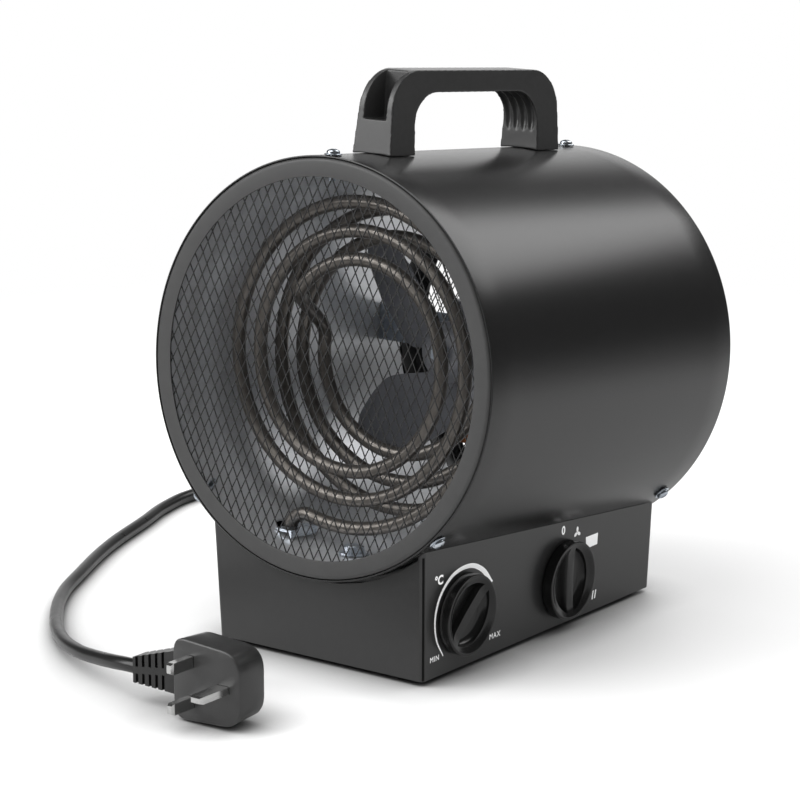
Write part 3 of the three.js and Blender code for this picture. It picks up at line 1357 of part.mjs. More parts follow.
addPiece(heater, 'selector_stem', controlStem(selectorAt, selectorBodyLength), zinc);
addPiece(heater, 'selector_body', selectorBody(), insulator);
addPiece(heater, 'terminal_block', terminalBlock(), insulator);
addPiece(heater, 'cable_gland', cableGland(), rubber);
addPiece(heater, 'cord_lead', cordTube(leadPoints), rubber);
addPiece(heater, 'cord_coil', cordCoil(), rubber);
addPiece(heater, 'cord_run', cordTube(runPoints), rubber);
addPiece(heater, 'plug_relief', plugRelief(), rubber);
addPiece(heater, 'plug_body', plugBody(), rubber);
for (const pin of plugPins()) addPiece(heater, pin.name, plugPin(pin), nickel);

console.log(`least gap between the cord coil's turns: ${coilLeastGap().toFixed(2)} mm`);

export default heater;
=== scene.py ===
"""Looks of a drum fan heater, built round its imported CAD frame.

Lengths are millimetres in the constants and metres in the scene. The frame is the part's own:
+Z up, -Y out of the warm-air grille, +X to the side with the knobs, origin on the floor.
"""

from __future__ import annotations

import json
import logging
import math
from dataclasses import dataclass, field
from enum import Enum
from typing import Iterable, Sequence

import bmesh
import bpy
import numpy as np
from mathutils import Matrix, Vector

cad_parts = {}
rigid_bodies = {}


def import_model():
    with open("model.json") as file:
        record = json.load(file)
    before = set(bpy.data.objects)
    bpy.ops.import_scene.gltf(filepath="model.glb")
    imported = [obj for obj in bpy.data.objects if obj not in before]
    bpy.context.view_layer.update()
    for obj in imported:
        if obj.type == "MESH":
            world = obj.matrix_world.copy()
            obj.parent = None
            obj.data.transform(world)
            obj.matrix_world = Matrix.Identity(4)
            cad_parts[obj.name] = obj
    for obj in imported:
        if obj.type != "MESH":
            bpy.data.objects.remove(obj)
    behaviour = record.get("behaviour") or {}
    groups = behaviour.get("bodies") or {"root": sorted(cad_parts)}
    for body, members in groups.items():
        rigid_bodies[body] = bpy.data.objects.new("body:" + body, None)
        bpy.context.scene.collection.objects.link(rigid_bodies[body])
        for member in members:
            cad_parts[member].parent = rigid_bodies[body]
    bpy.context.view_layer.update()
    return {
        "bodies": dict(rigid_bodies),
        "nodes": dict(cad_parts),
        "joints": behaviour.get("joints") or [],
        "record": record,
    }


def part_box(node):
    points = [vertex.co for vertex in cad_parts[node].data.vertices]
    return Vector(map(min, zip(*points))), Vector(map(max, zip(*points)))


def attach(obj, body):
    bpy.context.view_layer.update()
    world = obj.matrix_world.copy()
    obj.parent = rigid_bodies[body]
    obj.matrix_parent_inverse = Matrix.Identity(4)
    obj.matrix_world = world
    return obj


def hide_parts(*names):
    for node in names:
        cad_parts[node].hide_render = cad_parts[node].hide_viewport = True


LOG = logging.getLogger("heater")
MM = 0.001

Point = Sequence[float]
Pair = tuple[float, float]
Object = bpy.types.Object
Material = bpy.types.Material
Tree = bpy.types.NodeTree
Socket = bpy.types.NodeSocket


class Body(str, Enum):
    """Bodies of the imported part."""

    ROOT = "root"
    FAN = "fan"
    THERMOSTAT = "thermostat_knob"
    SELECTOR = "selector_knob"


class Slot(str, Enum):
    """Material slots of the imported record."""

    DRUM = "drum_paint"
    BASE = "base_paint"
    RING = "ring_paint"
    GRILLE = "grille_paint"
    MOULDING = "moulding_black"
    KNOB = "knob_gloss"
    SHIELD = "heat_shield_steel"
    ZINC = "zinc_steel"
    SHEATH = "sheath_steel"
    LAMINATION = "lamination_steel"
    COPPER = "winding_copper"
    INSULATOR = "insulator_plastic"
    RUBBER = "soft_rubber"
    PLUG = "plug_plastic"
    PIN = "pin_nickel"


@dataclass(frozen=True)
class DrumFrame:
    """The drum's tilted frame: X across, Y along the axis from front to rear, Z up.

    Attributes:
        radius: Outer radius of the rolled tube.
        length: Length of the tube along its axis.
        wall: Thickness of the tube.
        axis_height: Height of the axis over the floor at the middle of the tube.
        tilt_degrees: How far the front points up.
    """

    radius: float = 118.0
    length: float = 247.4
    wall: float = 1.0
    axis_height: float = 158.5
    tilt_degrees: float = 5.0

    @property
    def front(self) -> float:
        """Place of the tube's front edge along the axis."""
        return -self.length / 2

    @property
    def rear(self) -> float:
        """Place of the tube's rear edge along the axis."""
        return self.length / 2

    @property
    def matrix(self) -> Matrix:
        """Matrix from drum millimetres to scene metres."""
        turn = Matrix.Rotation(math.radians(-self.tilt_degrees), 4, "X")
        return Matrix.Scale(MM, 4) @ Matrix.Translation((0, 0, self.axis_height)) @ turn

    def around(self, angle: float, radius: float, y: float) -> Vector:
        """Gives a point at a clock angle.

        Args:
            angle: Radians clockwise from the top, seen from the front.
            radius: Distance from the axis.
            y: Place along the axis.

        Returns:
            The point in the drum's frame, in millimetres.
        """
        return Vector((radius * math.sin(angle), y, radius * math.cos(angle)))


DRUM = DrumFrame()
PART = Matrix.Scale(MM, 4)


@dataclass(frozen=True)
class CordRoute:
    """Route of the mains cord, the same as the CAD solids that it stands for.

    Attributes:
        radius: Radius of the cord.
        lead: Places from the gland to the coil.
        coil_centre: Centre of the coil in X and Y.
        coil_radius: Radius of the coil's inner turn.
        coil_pitch: How much a turn widens.
        coil_lift: Height between the coil's layers.
        turns_in: Turns wound inwards on the floor.
        turns_out: Turns wound outwards on top.
        climb_turns: Turns over which the cord climbs.
        run: Places from the coil to the plug.
    """

    radius: float
    lead: tuple[Point, ...]
    coil_centre: Pair
    coil_radius: float
    coil_pitch: float
    coil_lift: float
    turns_in: float
    turns_out: float
    climb_turns: float
    run: tuple[Point, ...]


FLOOR_Z = 4.3
RUN_Z = 13.2
CORD = CordRoute(
    radius=4.0,
    lead=((-38, 134.2, 21.81), (-38, 140, 21.81), (-38, 146.08, 21.81), (-38.8, 158.07, 19.64),
          (-40.8, 171.08, 14.49), (-44.6, 183.08, 8.75), (-48.6, 195.08, 4.79),
          (-50.3, 206.08, FLOOR_Z), (-50.5, 215.38, FLOOR_Z), (-50.5, 223.38, FLOOR_Z)),
    coil_centre=(-104, 231.98),
    coil_radius=42,
    coil_pitch=9.2,
    coil_lift=8.9,
    turns_in=1.25,
    turns_out=1.0,
    climb_turns=0.5,
    run=((-112.6, 283.18, RUN_Z), (-121, 283.18, RUN_Z), (-134, 282.78, 12.9), (-148, 281.18, 12),
         (-163, 277.98, 9), (-178, 272.98, 5.8), (-193, 266.38, 4.6), (-212, 253.98, FLOOR_Z),
         (-234, 228, FLOOR_Z), (-262, 190, FLOOR_Z), (-283, 150, FLOOR_Z), (-292, 108, FLOOR_Z),
         (-285, 70, FLOOR_Z), (-272, 36, FLOOR_Z), (-250, -23, FLOOR_Z), (-221, -82, FLOOR_Z),
         (-201, -118, FLOOR_Z), (-170, -157, 4.6), (-137, -188, 6.4), (-103, -210, 10),
         (-79, -220, 13.2), (-60, -226.6, 16.2), (-50, -228.6, 17.4), (-43, -229, 17.7),
         (-40.7, -229, 17.7)),
)


def smoothstep(value: float) -> float:
    """Eases a share of a way in and out.

    Args:
        value: Share of the way; it is held between 0 and 1.

    Returns:
        The eased share.
    """
    held = min(1.0, max(0.0, value))
    return held * held * (3 - 2 * held)


def coil_points(route: CordRoute, steps: int) -> list[Vector]:
    """Samples the coil, which spirals in on the floor and out again on top.

    Args:
        route: The cord's route.
        steps: Samples in a turn.

    Returns:
        Places along the coil in millimetres.
    """
    turns = route.turns_in + route.turns_out
    points = []
    count = round(turns * steps)
    for step in range(count + 1):
        turned = turns * step / count
        past = turned - route.turns_in
        radius = route.coil_radius + route.coil_pitch * abs(past)
        angle = turned * math.tau
        height = FLOOR_Z + route.coil_lift * smoothstep(past / route.climb_turns + 0.5)
        points.append(Vector((route.coil_centre[0] + radius * math.cos(angle),
                              route.coil_centre[1] + radius * math.sin(angle), height)))
    return points


def link(item: Object) -> Object:
    """Links an object to the scene.

    Args:
        item: The object.

    Returns:
        The same object.
    """
    bpy.context.scene.collection.objects.link(item)
    return item


@dataclass
class Form:
    """A closed surface in millimetres, before it becomes an object.

    Attributes:
        places: Its vertices.
        faces: Vertex numbers of each face.
        uvs: Texture places of each face's corners, if the form has them.
    """

    places: list[Vector]
    faces: list[tuple[int, ...]]
    uvs: list[Pair] | None = None

    def moved(self, matrix: Matrix) -> Form:
        """Gives the form in another place.

        Args:
            matrix: The transform.

        Returns:
            A new form.
        """
        return Form([matrix @ place for place in self.places], self.faces, self.uvs)

    def joined(self, *others: Form) -> Form:
        """Puts several forms into one.

        Args:
            others: The forms to add.

        Returns:
            A new form.
        """
        places = list(self.places)
        faces = list(self.faces)
        uvs = list(self.uvs or [(0.0, 0.0)] * sum(map(len, self.faces)))
        for other in others:
            start = len(places)
            places += other.places
            faces += [tuple(start + i for i in face) for face in other.faces]
            uvs += other.uvs or [(0.0, 0.0)] * sum(map(len, other.faces))
        return Form(places, faces, uvs)


def lathe(profile: Sequence[Pair], segments: int, closed: bool = False) -> Form:
    """Turns a profile about the Y axis.

    Args:
        profile: Points of radius and place along Y, in order.
        segments: Facets round the axis.
        closed: Whether the last point joins the first, as for a ring.

    Returns:
        The turned form.
    """
    places: list[Vector] = []
    rings: list[list[int]] = []
    for radius, y in profile:
        if radius < 1e-6:
            places.append(Vector((0, y, 0)))
            rings.append([len(places) - 1] * segments)
            continue
        start = len(places)
        for segment in range(segments):
            angle = math.tau * segment / segments
            places.append(Vector((radius * math.sin(angle), y, radius * math.cos(angle))))
        rings.append(list(range(start, start + segments)))
    pairs = list(zip(rings, rings[1:]))
    if closed:
        pairs.append((rings[-1], rings[0]))
    faces = []
    for near, far in pairs:
        for segment in range(segments):
            after = (segment + 1) % segments
            corners = (near[segment], near[after], far[after], far[segment])
            kept = tuple(dict.fromkeys(corners))
            if len(kept) > 2:
                faces.append(kept)
    return Form(places, faces)


def rounded(profile: Sequence[Pair], radii: float | Sequence[float], steps: int = 3,
            closed: bool = False) -> list[Pair]:
    """Rounds the corners of a profile.

    Args:
        profile: The profile's points.
        radii: How far from each corner its rounding starts, at most; one value or one for each.
        steps: Facets of a rounded corner.
        closed: Whether the profile is a loop.

    Returns:
        The rounded profile.
    """
    points = [Vector(point) for point in profile]
    made: list[Pair] = []
    count = len(points)
    reaches = [radii] * count if isinstance(radii, (int, float)) else list(radii)
    for i, point in enumerate(points):
        radius = reaches[i]
        if radius <= 0 or (not closed and i in (0, count - 1)):
            made.append(tuple(point))
            continue
        before, after = points[i - 1], points[(i + 1) % count]
        reach = min(radius, (before - point).length * 0.45, (after - point).length * 0.45)
        start = point + (before - point).normalized() * reach
        end = point + (after - point).normalized() * reach
        for step in range(steps + 1):
            t = step / steps
            place = start * (1 - t) ** 2 + point * 2 * t * (1 - t) + end * t * t
            made.append(tuple(place))
    return made


def prism(outline: Sequence[Pair], y0: float, y1: float) -> Form:
    """Stands an outline in XZ and extrudes it along Y.

    Args:
        outline: Points of X and Z, in order.
        y0: Where the form starts.
        y1: Where it ends.

    Returns:
        The extruded form.
    """
    return loft([[Vector((x, y, z)) for x, z in outline] for y in (y0, y1)])


def loft(sections: Sequence[Sequence[Vector]]) -> Form:
    """Joins sections that have the same number of points, and closes both ends.

    Args:
        sections: The sections, in order.

    Returns:
        The lofted form.
    """
    count = len(sections[0])
    places = [place.copy() for section in sections for place in section]
    faces: list[tuple[int, ...]] = []
    for row in range(len(sections) - 1):
        for i in range(count):
            after = (i + 1) % count
            faces.append((row * count + i, row * count + after,
                          (row + 1) * count + after, (row + 1) * count + i))
    last = (len(sections) - 1) * count
    faces += [tuple(range(count - 1, -1, -1)), tuple(range(last, last + count))]
    return Form(places, faces)


def box_form(low: Point, high: Point) -> Form:
    """Makes a box.

    Args:
        low: Its lowest corner.
        high: Its highest corner.

    Returns:
        The box.
    """
    outline = [(low[0], low[2]), (high[0], low[2]), (high[0], high[2]), (low[0], high[2])]
    return prism(outline, low[1], high[1])


def sweep(path: Sequence[Vector], radius: float, sides: int) -> Form:
    """Runs a round section along a path, without twist, with texture places along it.

    Args:
        path: Places along the path.
        radius: Radius of the section.
        sides: Facets round the section.

    Returns:
        The tube, with texture places of length along it and share of a turn round it.
    """
    count = len(path)
    tangents = [(path[min(i + 1, count - 1)] - path[max(i - 1, 0)]).normalized()
                for i in range(count)]
    normal = tangents[0].orthogonal().normalized()
    places: list[Vector] = []
    lengths = [0.0]
    for i, (place, tangent) in enumerate(zip(path, tangents)):
        normal = (normal - tangent * normal.dot(tangent)).normalized()
        across = tangent.cross(normal)
        for side in range(sides):
            angle = math.tau * side / sides
            places.append(place + (normal * math.cos(angle) + across * math.sin(angle)) * radius)
        if i:
            lengths.append(lengths[-1] + (place - path[i - 1]).length)
    faces: list[tuple[int, ...]] = []
    uvs: list[Pair] = []
    for i in range(count - 1):
        for side in range(sides):
            after = (side + 1) % sides
            low, high = i * sides, (i + 1) * sides
            faces.append((low + side, low + after, high + after, high + side))
            uvs += [(lengths[i], side / sides), (lengths[i], (side + 1) / sides),
                    (lengths[i + 1], (side + 1) / sides), (lengths[i + 1], side / sides)]
    last = (count - 1) * sides
    faces += [tuple(range(sides - 1, -1, -1)), tuple(range(last, last + sides))]
    uvs += [(lengths[0], 0.5)] * sides + [(lengths[-1], 0.5)] * sides
    return Form(places, faces, uvs)


def through(points: Sequence[Point], step: float) -> list[Vector]:
    """Samples a smooth curve through places.

    Args:
        points: The places.
        step: Length between samples.

    Returns:
        Samples along the curve.
    """
    known = [Vector(point) for point in points]
    ends = [known[0] * 2 - known[1], *known, known[-1] * 2 - known[-2]]
    made: list[Vector] = []
    for p0, p1, p2, p3 in zip(ends, ends[1:], ends[2:], ends[3:]):
        count = max(1, round((p2 - p1).length / step))
        for i in range(count):
            t = i / count
            made.append(((p1 * 2) + (p2 - p0) * t + (p0 * 2 - p1 * 5 + p2 * 4 - p3) * t * t
                         + (p1 * 3 - p0 - p2 * 3 + p3) * t ** 3) * 0.5)
    made.append(known[-1])
    return made


def ellipse_arc(centre: Point, radii: Point, start: float, end: float,
                steps: int) -> list[Pair]:
    """Samples part of an ellipse.

    Args:
        centre: Its centre.
        radii: Its two radii.
        start: Angle of the first point, in degrees from the first axis.
        end: Angle of the last point.
        steps: Facets of the arc.

    Returns:
        Points along the arc.
    """
    made = []
    for step in range(steps + 1):
        angle = math.radians(start + (end - start) * step / steps)
        made.append((centre[0] + radii[0] * math.cos(angle), centre[1] + radii[1] * math.sin(angle)))
    return made


def turn_to(direction: Vector) -> Matrix:
    """Gives the turn that puts the Y axis on a direction.

    Args:
        direction: The direction.

    Returns:
        The turn as a matrix.
    """
    return Vector((0, 1, 0)).rotation_difference(direction.normalized()).to_matrix().to_4x4()


class Pattern(str, Enum):
    """What breaks up a surface besides its fine grain."""

    NONE = "none"
    BRUSHED = "brushed"
    STACKED = "stacked"
    WOUND = "wound"
    # Bands that wind round a tube; on the sheath they are painted light and shade standing in for the
    # front mesh's shadows.
    SPIRAL = "spiral"


@dataclass(frozen=True)
class Finish:
    """Look of a kind of surface.

    Attributes:
        color: Mean linear red, green and blue.
        shade: Colour of the darker or lighter patches.
        roughness: Lowest and highest roughness.
        metallic: Share of metal.
        specular: Specular level.
        grain: Size of the fine grain in millimetres.
        relief: Height of the fine grain in millimetres.
        pattern: What else breaks up the surface.
        pitch: Spacing of the pattern in millimetres.
    """

    color: Point
    shade: Point
    roughness: Pair
    metallic: float = 0.0
    specular: float = 0.5
    grain: float = 0.6
    relief: float = 0.01
    pattern: Pattern = Pattern.NONE
    pitch: float = 1.0


def grey(value: float) -> Point:
    """Gives a neutral colour.

    Args:
        value: Its linear value.

    Returns:
        The colour.
    """
    return (value, value, value)


FINISHES: dict[Slot, Finish] = {
    Slot.DRUM: Finish(grey(0.0085), grey(0.010), (0.255, 0.27), grain=0.45, relief=0.0006),
    Slot.BASE: Finish(grey(0.016), grey(0.018), (0.30, 0.34), grain=0.45, relief=0.0008),
    Slot.RING: Finish(grey(0.033), grey(0.037), (0.42, 0.48), specular=0.4, grain=0.5, relief=0.001),
    Slot.GRILLE: Finish(grey(0.017), grey(0.024), (0.34, 0.42), metallic=0.2, grain=1.5,
                        relief=0.002),
    Slot.MOULDING: Finish(grey(0.027), grey(0.032), (0.28, 0.34), specular=0.44, grain=0.35,
                          relief=0.003),
    Slot.KNOB: Finish(grey(0.005), grey(0.006), (0.22, 0.25), specular=0.38, grain=0.4,
                      relief=0.0006),
    Slot.SHIELD: Finish((0.62, 0.63, 0.65), (0.58, 0.59, 0.61), (0.30, 0.34), metallic=0.68,
                        grain=7.0, relief=0.0008, pattern=Pattern.BRUSHED, pitch=2.5),
    Slot.ZINC: Finish((0.62, 0.66, 0.70), (0.42, 0.47, 0.54), (0.20, 0.36), metallic=1.0, grain=1.6,
                      relief=0.012),
    # The sheath's spiral bands are painted light and shade that stand in for the front mesh's shadows
    # on the tube.
    Slot.SHEATH: Finish((0.128, 0.118, 0.108), (0.110, 0.101, 0.092), (0.30, 0.35), metallic=0.8,
                        grain=1.8, relief=0.006, pattern=Pattern.SPIRAL, pitch=9.0),
    Slot.LAMINATION: Finish((0.30, 0.31, 0.33), (0.14, 0.14, 0.15), (0.35, 0.55), metallic=0.9,
                            grain=2.0, relief=0.02, pattern=Pattern.STACKED, pitch=0.9),
    Slot.COPPER: Finish((0.50, 0.20, 0.085), (0.30, 0.10, 0.04), (0.25, 0.40), metallic=0.9,
                        grain=1.2, relief=0.02, pattern=Pattern.WOUND, pitch=0.8),
    Slot.INSULATOR: Finish((0.66, 0.62, 0.54), (0.58, 0.54, 0.46), (0.45, 0.60), grain=1.5),
    Slot.RUBBER: Finish(grey(0.006), grey(0.008), (0.27, 0.33), specular=0.42, grain=0.8,
                        relief=0.003),
    Slot.PLUG: Finish(grey(0.019), grey(0.023), (0.32, 0.40), specular=0.54, grain=0.5,
                      relief=0.004),
    Slot.PIN: Finish((0.58, 0.58, 0.57), (0.48, 0.48, 0.48), (0.16, 0.26), metallic=1.0, grain=3.0,
                     relief=0.004, pattern=Pattern.BRUSHED),
}
FAN_FINISH = Finish((0.150, 0.154, 0.170), (0.164, 0.168, 0.184), (0.36, 0.46), grain=0.5,
                    relief=0.006)
# Near-black finish of the corner rod: painted shade of the seam between the base's front and side.
SEAM_SHADE_FINISH = Finish(grey(0.003), grey(0.004), (0.6, 0.7), specular=0.1, relief=0.002)
INK = Finish(grey(0.90), grey(0.86), (0.5, 0.6), relief=0.002)


def add_node(tree: Tree, kind: str, settings: dict[str, object] | None = None,
             **inputs: object) -> bpy.types.Node:
    """Adds a node to a tree of any kind.

    Args:
        tree: The tree.
        kind: Type of the node.
        settings: Its properties.
        inputs: Sockets to link, or values to set. The key is the input's name with underscores for
            spaces, or its number as in i0.

    Returns:
        The node.
    """
    made = tree.nodes.new(kind)
    for name, setting in (settings or {}).items():
        setattr(made, name, setting)
    for name, source in inputs.items():
        key = int(name[1:]) if name[0] == "i" and name[1:].isdigit() else name.replace("_", " ")
        if isinstance(source, Socket):
            tree.links.new(source, made.inputs[key])
        else:
            made.inputs[key].default_value = source
    return made


@dataclass
class MaterialMaker:
    """Builds procedural materials on object coordinates, one per kind of surface.

    Attributes:
        patch: Size of the patches of colour, in grains.
        middle: The part of a noise's values that is stretched over a look's whole range.
        color_share: Share of a pattern in colour and roughness.
        relief_share: Share of a pattern in the relief.
        brush: How much shorter brushed noise is along its strokes.
        made: The materials so far, by name.
    """

    patch: float = 9.0
    middle: Pair = (0.3, 0.7)
    color_share: float = 0.65
    relief_share: float = 0.5
    brush: float = 0.04
    made: dict[str, Material] = field(default_factory=dict)

    def get(self, name: str, finish: Finish) -> Material:
        """Gives the material of a finish, making it the first time.

        Args:
            name: Name of the material.
            finish: Its look.

        Returns:
            The material.
        """
        if name not in self.made:
            self.made[name] = self._build(name, finish)
        return self.made[name]

    def of(self, slot: Slot) -> Material:
        """Gives the material of a slot.

        Args:
            slot: The record's slot.

        Returns:
            The material.
        """
        return self.get(slot.value, FINISHES[slot])

    def _build(self, name: str, finish: Finish) -> Material:
        """Builds the material of a finish.

        Args:
            name: Name of the material.
            finish: Its look.

        Returns:
            The material.
        """
        material = bpy.data.materials.new(name)
        material.use_nodes = True
        tree = material.node_tree
        shader = tree.nodes["Principled BSDF"]
        for key, value in (("Base Color", (*finish.color, 1)), ("Roughness", sum(finish.roughness) / 2),
                           ("Metallic", finish.metallic), ("Specular IOR Level", finish.specular)):
            shader.inputs[key].default_value = value
        place = add_node(tree, "ShaderNodeTexCoord")
        coords = place.outputs["Object"]
        height = self._noise(tree, coords, finish.grain, 3)
        factor = self._noise(tree, coords, finish.grain * self.patch, 4)
        if finish.pattern is not Pattern.NONE:
            stripes = self._stripes(tree, place, finish)
            height = self._mix(tree, height, stripes, self.relief_share)
            factor = self._mix(tree, factor, stripes, self.color_share)
        color = add_node(tree, "ShaderNodeMix", {"data_type": "RGBA"},
                         Factor=self._spread(tree, factor, (0.0, 1.0)),
                         A=(*finish.color, 1), B=(*finish.shade, 1))
        bump = add_node(tree, "ShaderNodeBump", None, Distance=finish.relief * MM, Strength=1.0,
                        Height=height)
        for source, key in ((color.outputs["Result"], "Base Color"),
                            (self._spread(tree, factor, finish.roughness), "Roughness"),
                            (bump.outputs["Normal"], "Normal")):
            tree.links.new(source, shader.inputs[key])
        return material

    @staticmethod
    def _noise(tree: Tree, coords: Socket, size: float,
               detail: float) -> Socket:
        """Adds noise.

        Args:
            tree: The material's tree.
            coords: Where it is read.
            size: Its size in millimetres.
            detail: Its detail.

        Returns:
            The noise.
        """
        return add_node(tree, "ShaderNodeTexNoise", None, Vector=coords, Scale=1000 / size,
                        Detail=detail).outputs["Fac"]

    @staticmethod
    def _mix(tree: Tree, first: Socket, second: Socket,
             share: float) -> Socket:
        """Mixes two values.

        Args:
            tree: The material's tree.
            first: The one value.
            second: The other value.
            share: Share of the second.

        Returns:
            The mixed value.
        """
        return add_node(tree, "ShaderNodeMix", {"data_type": "FLOAT"}, Factor=share, A=first,
                        B=second).outputs["Result"]

    def _spread(self, tree: Tree, factor: Socket,
                limits: Pair) -> Socket:
        """Stretches the middle of a noise's values over a range.

        Args:
            tree: The material's tree.
            factor: The noise.
            limits: Ends of the range.

        Returns:
            The stretched value.
        """
        return add_node(tree, "ShaderNodeMapRange", None, Value=factor, From_Min=self.middle[0],
                        From_Max=self.middle[1], To_Min=limits[0], To_Max=limits[1]).outputs["Result"]

    def _stripes(self, tree: Tree, place: bpy.types.Node,
                 finish: Finish) -> Socket:
        """Adds a finish's pattern.

        Args:
            tree: The material's tree.
            place: The node of texture coordinates.
            finish: The finish.

        Returns:
            The pattern.
        """
        source = place.outputs["Object"]
        if finish.pattern is Pattern.BRUSHED:
            drawn = add_node(tree, "ShaderNodeMapping", None, Vector=source, Scale=(1, self.brush, 1))
            return self._noise(tree, drawn.outputs["Vector"], finish.pitch, 2)
        period = finish.pitch * MM
        # Spiral bands of painted light and shade, standing in for the front mesh's shadows on the
        # sheath.
        if finish.pattern is Pattern.SPIRAL:
            unrolled = add_node(tree, "ShaderNodeMapping", None, Vector=place.outputs["UV"],
                                Scale=(1 / finish.pitch, 1, 1))
            lean = add_node(tree, "ShaderNodeVectorMath", {"operation": "DOT_PRODUCT"},
                            i0=unrolled.outputs["Vector"], i1=(1, 1, 0))
            source, period = lean.outputs["Value"], 1.0
        bands = "Y" if finish.pattern is Pattern.STACKED else "X"
        return add_node(tree, "ShaderNodeTexWave", {"wave_profile": "SIN", "bands_direction": bands},
                        Vector=source, Scale=math.tau / 20 / period, Distortion=0.4,
                        Detail=1.0).outputs["Fac"]


@dataclass
class Workshop:
    """Turns forms into finished pieces that ride on the CAD's bodies.

    Attributes:
        nodes: The CAD's nodes by name.
        materials: Makes the materials.
    """

    nodes: dict[str, Object]
    materials: MaterialMaker

    @staticmethod
    def raw(name: str, form: Form, frame: Matrix = PART) -> Object:
        """Makes an object of a form, with outward faces.

        Args:
            name: Name of the object.
            form: The form.
            frame: Matrix from the form's millimetres to scene metres.

        Returns:
            The object.
        """
        mesh = bpy.data.meshes.new(name)
        mesh.from_pydata([tuple(frame @ place) for place in form.places], [], form.faces)
        if form.uvs:
            layer = mesh.uv_layers.new(name="along")
            layer.data.foreach_set("uv", [value for uv in form.uvs for value in uv])
        Workshop.tend(mesh)
        return link(bpy.data.objects.new(name, mesh))

    @staticmethod
    def tend(mesh: bpy.types.Mesh, sides: int = 0) -> None:
        """Turns a mesh's faces outwards.

        Args:
            mesh: The mesh.
            sides: Holes of at most so many sides are filled first; none if it is 0.
        """
        shaped = bmesh.new()
        shaped.from_mesh(mesh)
        if sides:
            open_edges = [edge for edge in shaped.edges if edge.is_boundary]
            bmesh.ops.holes_fill(shaped, edges=open_edges, sides=sides)
        bmesh.ops.recalc_face_normals(shaped, faces=shaped.faces)
        shaped.to_mesh(mesh)
        shaped.free()

    @staticmethod
    def bake(item: Object) -> None:
        """Turns an object's modifiers into a plain mesh.

        Args:
            item: The object.
        """
        graph = bpy.context.evaluated_depsgraph_get()
        mesh = bpy.data.meshes.new_from_object(item.evaluated_get(graph), depsgraph=graph)
        mesh.name = item.name
        item.modifiers.clear()
        old = item.data
        item.data = mesh
        bpy.data.meshes.remove(old)

    def cut(self, item: Object, cutters: Iterable[Form], frame: Matrix = PART,
            operation: str = "DIFFERENCE") -> None:
        """Cuts forms out of an object.

        Args:
            item: The object.
            cutters: The forms.
            frame: Matrix from the forms' millimetres to scene metres.
            operation: The boolean operation.
        """
        self.cut_by(item, [self.raw("tool", cutter, frame) for cutter in cutters], operation)

    def cut_by(self, item: Object, tools: Sequence[Object],
               operation: str = "DIFFERENCE") -> None:
        """Cuts objects out of an object and removes them.

        Args:
            item: The object.
            tools: The objects to cut with.
            operation: The boolean operation.
        """
        for tool in tools:
            modifier = item.modifiers.new("cut", "BOOLEAN")
            modifier.operation = operation
            modifier.solver = "EXACT"
            modifier.object = tool
        self.bake(item)
        for tool in tools:
            mesh = tool.data
            bpy.data.objects.remove(tool)
            bpy.data.meshes.remove(mesh)

    @staticmethod
    def bevel(item: Object, width: float, segments: int = 2, angle: float = 35.0) -> None:
        """Gives an object a modifier that rounds its sharp edges.

        Args:
            item: The object.
            width: Width of the rounding in millimetres.
            segments: Facets of the rounding.
            angle: Least angle of an edge to round, in degrees.
        """
        modifier = item.modifiers.new("soften", "BEVEL")
        modifier.width = width * MM
        modifier.segments = segments
        modifier.limit_method = "ANGLE"
        modifier.angle_limit = math.radians(angle)

    def melt(self, item: Object, voxel: float, passes: int) -> None:
        """Remakes an object as an even mesh with soft edges.

        Args:
            item: The object.
            voxel: Size of the mesh's cells in millimetres.
            passes: How often the mesh is smoothed.
        """
        remesh = item.modifiers.new("melt", "REMESH")
        remesh.mode = "VOXEL"
        remesh.voxel_size = voxel * MM
        smooth = item.modifiers.new("smooth", "SMOOTH")
        smooth.factor = 0.5
        smooth.iterations = passes
        self.bake(item)

    def finish(self, item: Object, slot: Slot, replaces: Sequence[str],
               body: Body = Body.ROOT, material: Material | None = None,
               angle: float = 32.0) -> Object:
        """Paints a piece, smooths its shading, hands it to the frame and reports it.

        Args:
            item: The object.
            slot: The record's slot of its finish.
            replaces: CAD nodes that it stands for.
            body: The body that it rides on.
            material: A material other than the slot's own.
            angle: Edges sharper than this stay sharp, in degrees.

        Returns:
            The same object.
        """
        item.data.materials.clear()
        item.data.materials.append(material or self.materials.of(slot))
        item.data.polygons.foreach_set("use_smooth", [True] * len(item.data.polygons))
        item.data.set_sharp_from_angle(angle=math.radians(angle))
        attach(item, body.value)
        if replaces:
            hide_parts(*replaces)
        LOG.info("piece %s in %s on %s", item.name, slot.value, body.value)
        return item

    def keep_node(self, name: str, slot: Slot, soft: float = 0.3) -> None:
        """Shows a CAD node as it is, with its finish and softened edges, and reports it.

        Args:
            name: The node.
            slot: The record's slot of its finish.
            soft: Width of its rounded edges in millimetres.
        """
        node = self.nodes[name]
        node.data.materials.clear()
        node.data.materials.append(self.materials.of(slot))
        self.bevel(node, soft)
        LOG.info("node %s in %s", name, slot.value)


@dataclass(frozen=True)
class CameraFit:
    """The camera found from the photograph's ellipses and plug pins.

    Attributes:
        place: Place of the camera in millimetres.
        right: Direction of the picture's right.
        up: Direction of the picture's top.
        back: Direction from the scene to the camera.
        lens: Focal length for the sensor.
        sensor: Width of the sensor.
        reach: How far it sees, in metres.
    """

    place: Point = (978.81, -1356.33, 510.77)
    right: Point = (0.80098, 0.59870, 0.0)
    up: Point = (-0.13297, 0.17789, 0.97504)
    back: Point = (0.58375, -0.78098, 0.22209)
    lens: float = 131.577
    sensor: float = 36.0
    reach: float = 20.0


@dataclass(frozen=True)
class Lamp:
    """A rectangular light.

    Attributes:
        name: Its name.
        place: Where it stands, in metres.
        size: Its width and height in metres.
        watts: Its power.
        mirrored: Whether glossy surfaces mirror it.
    """

    name: str
    place: Point
    size: Pair
    watts: float
    mirrored: bool = True


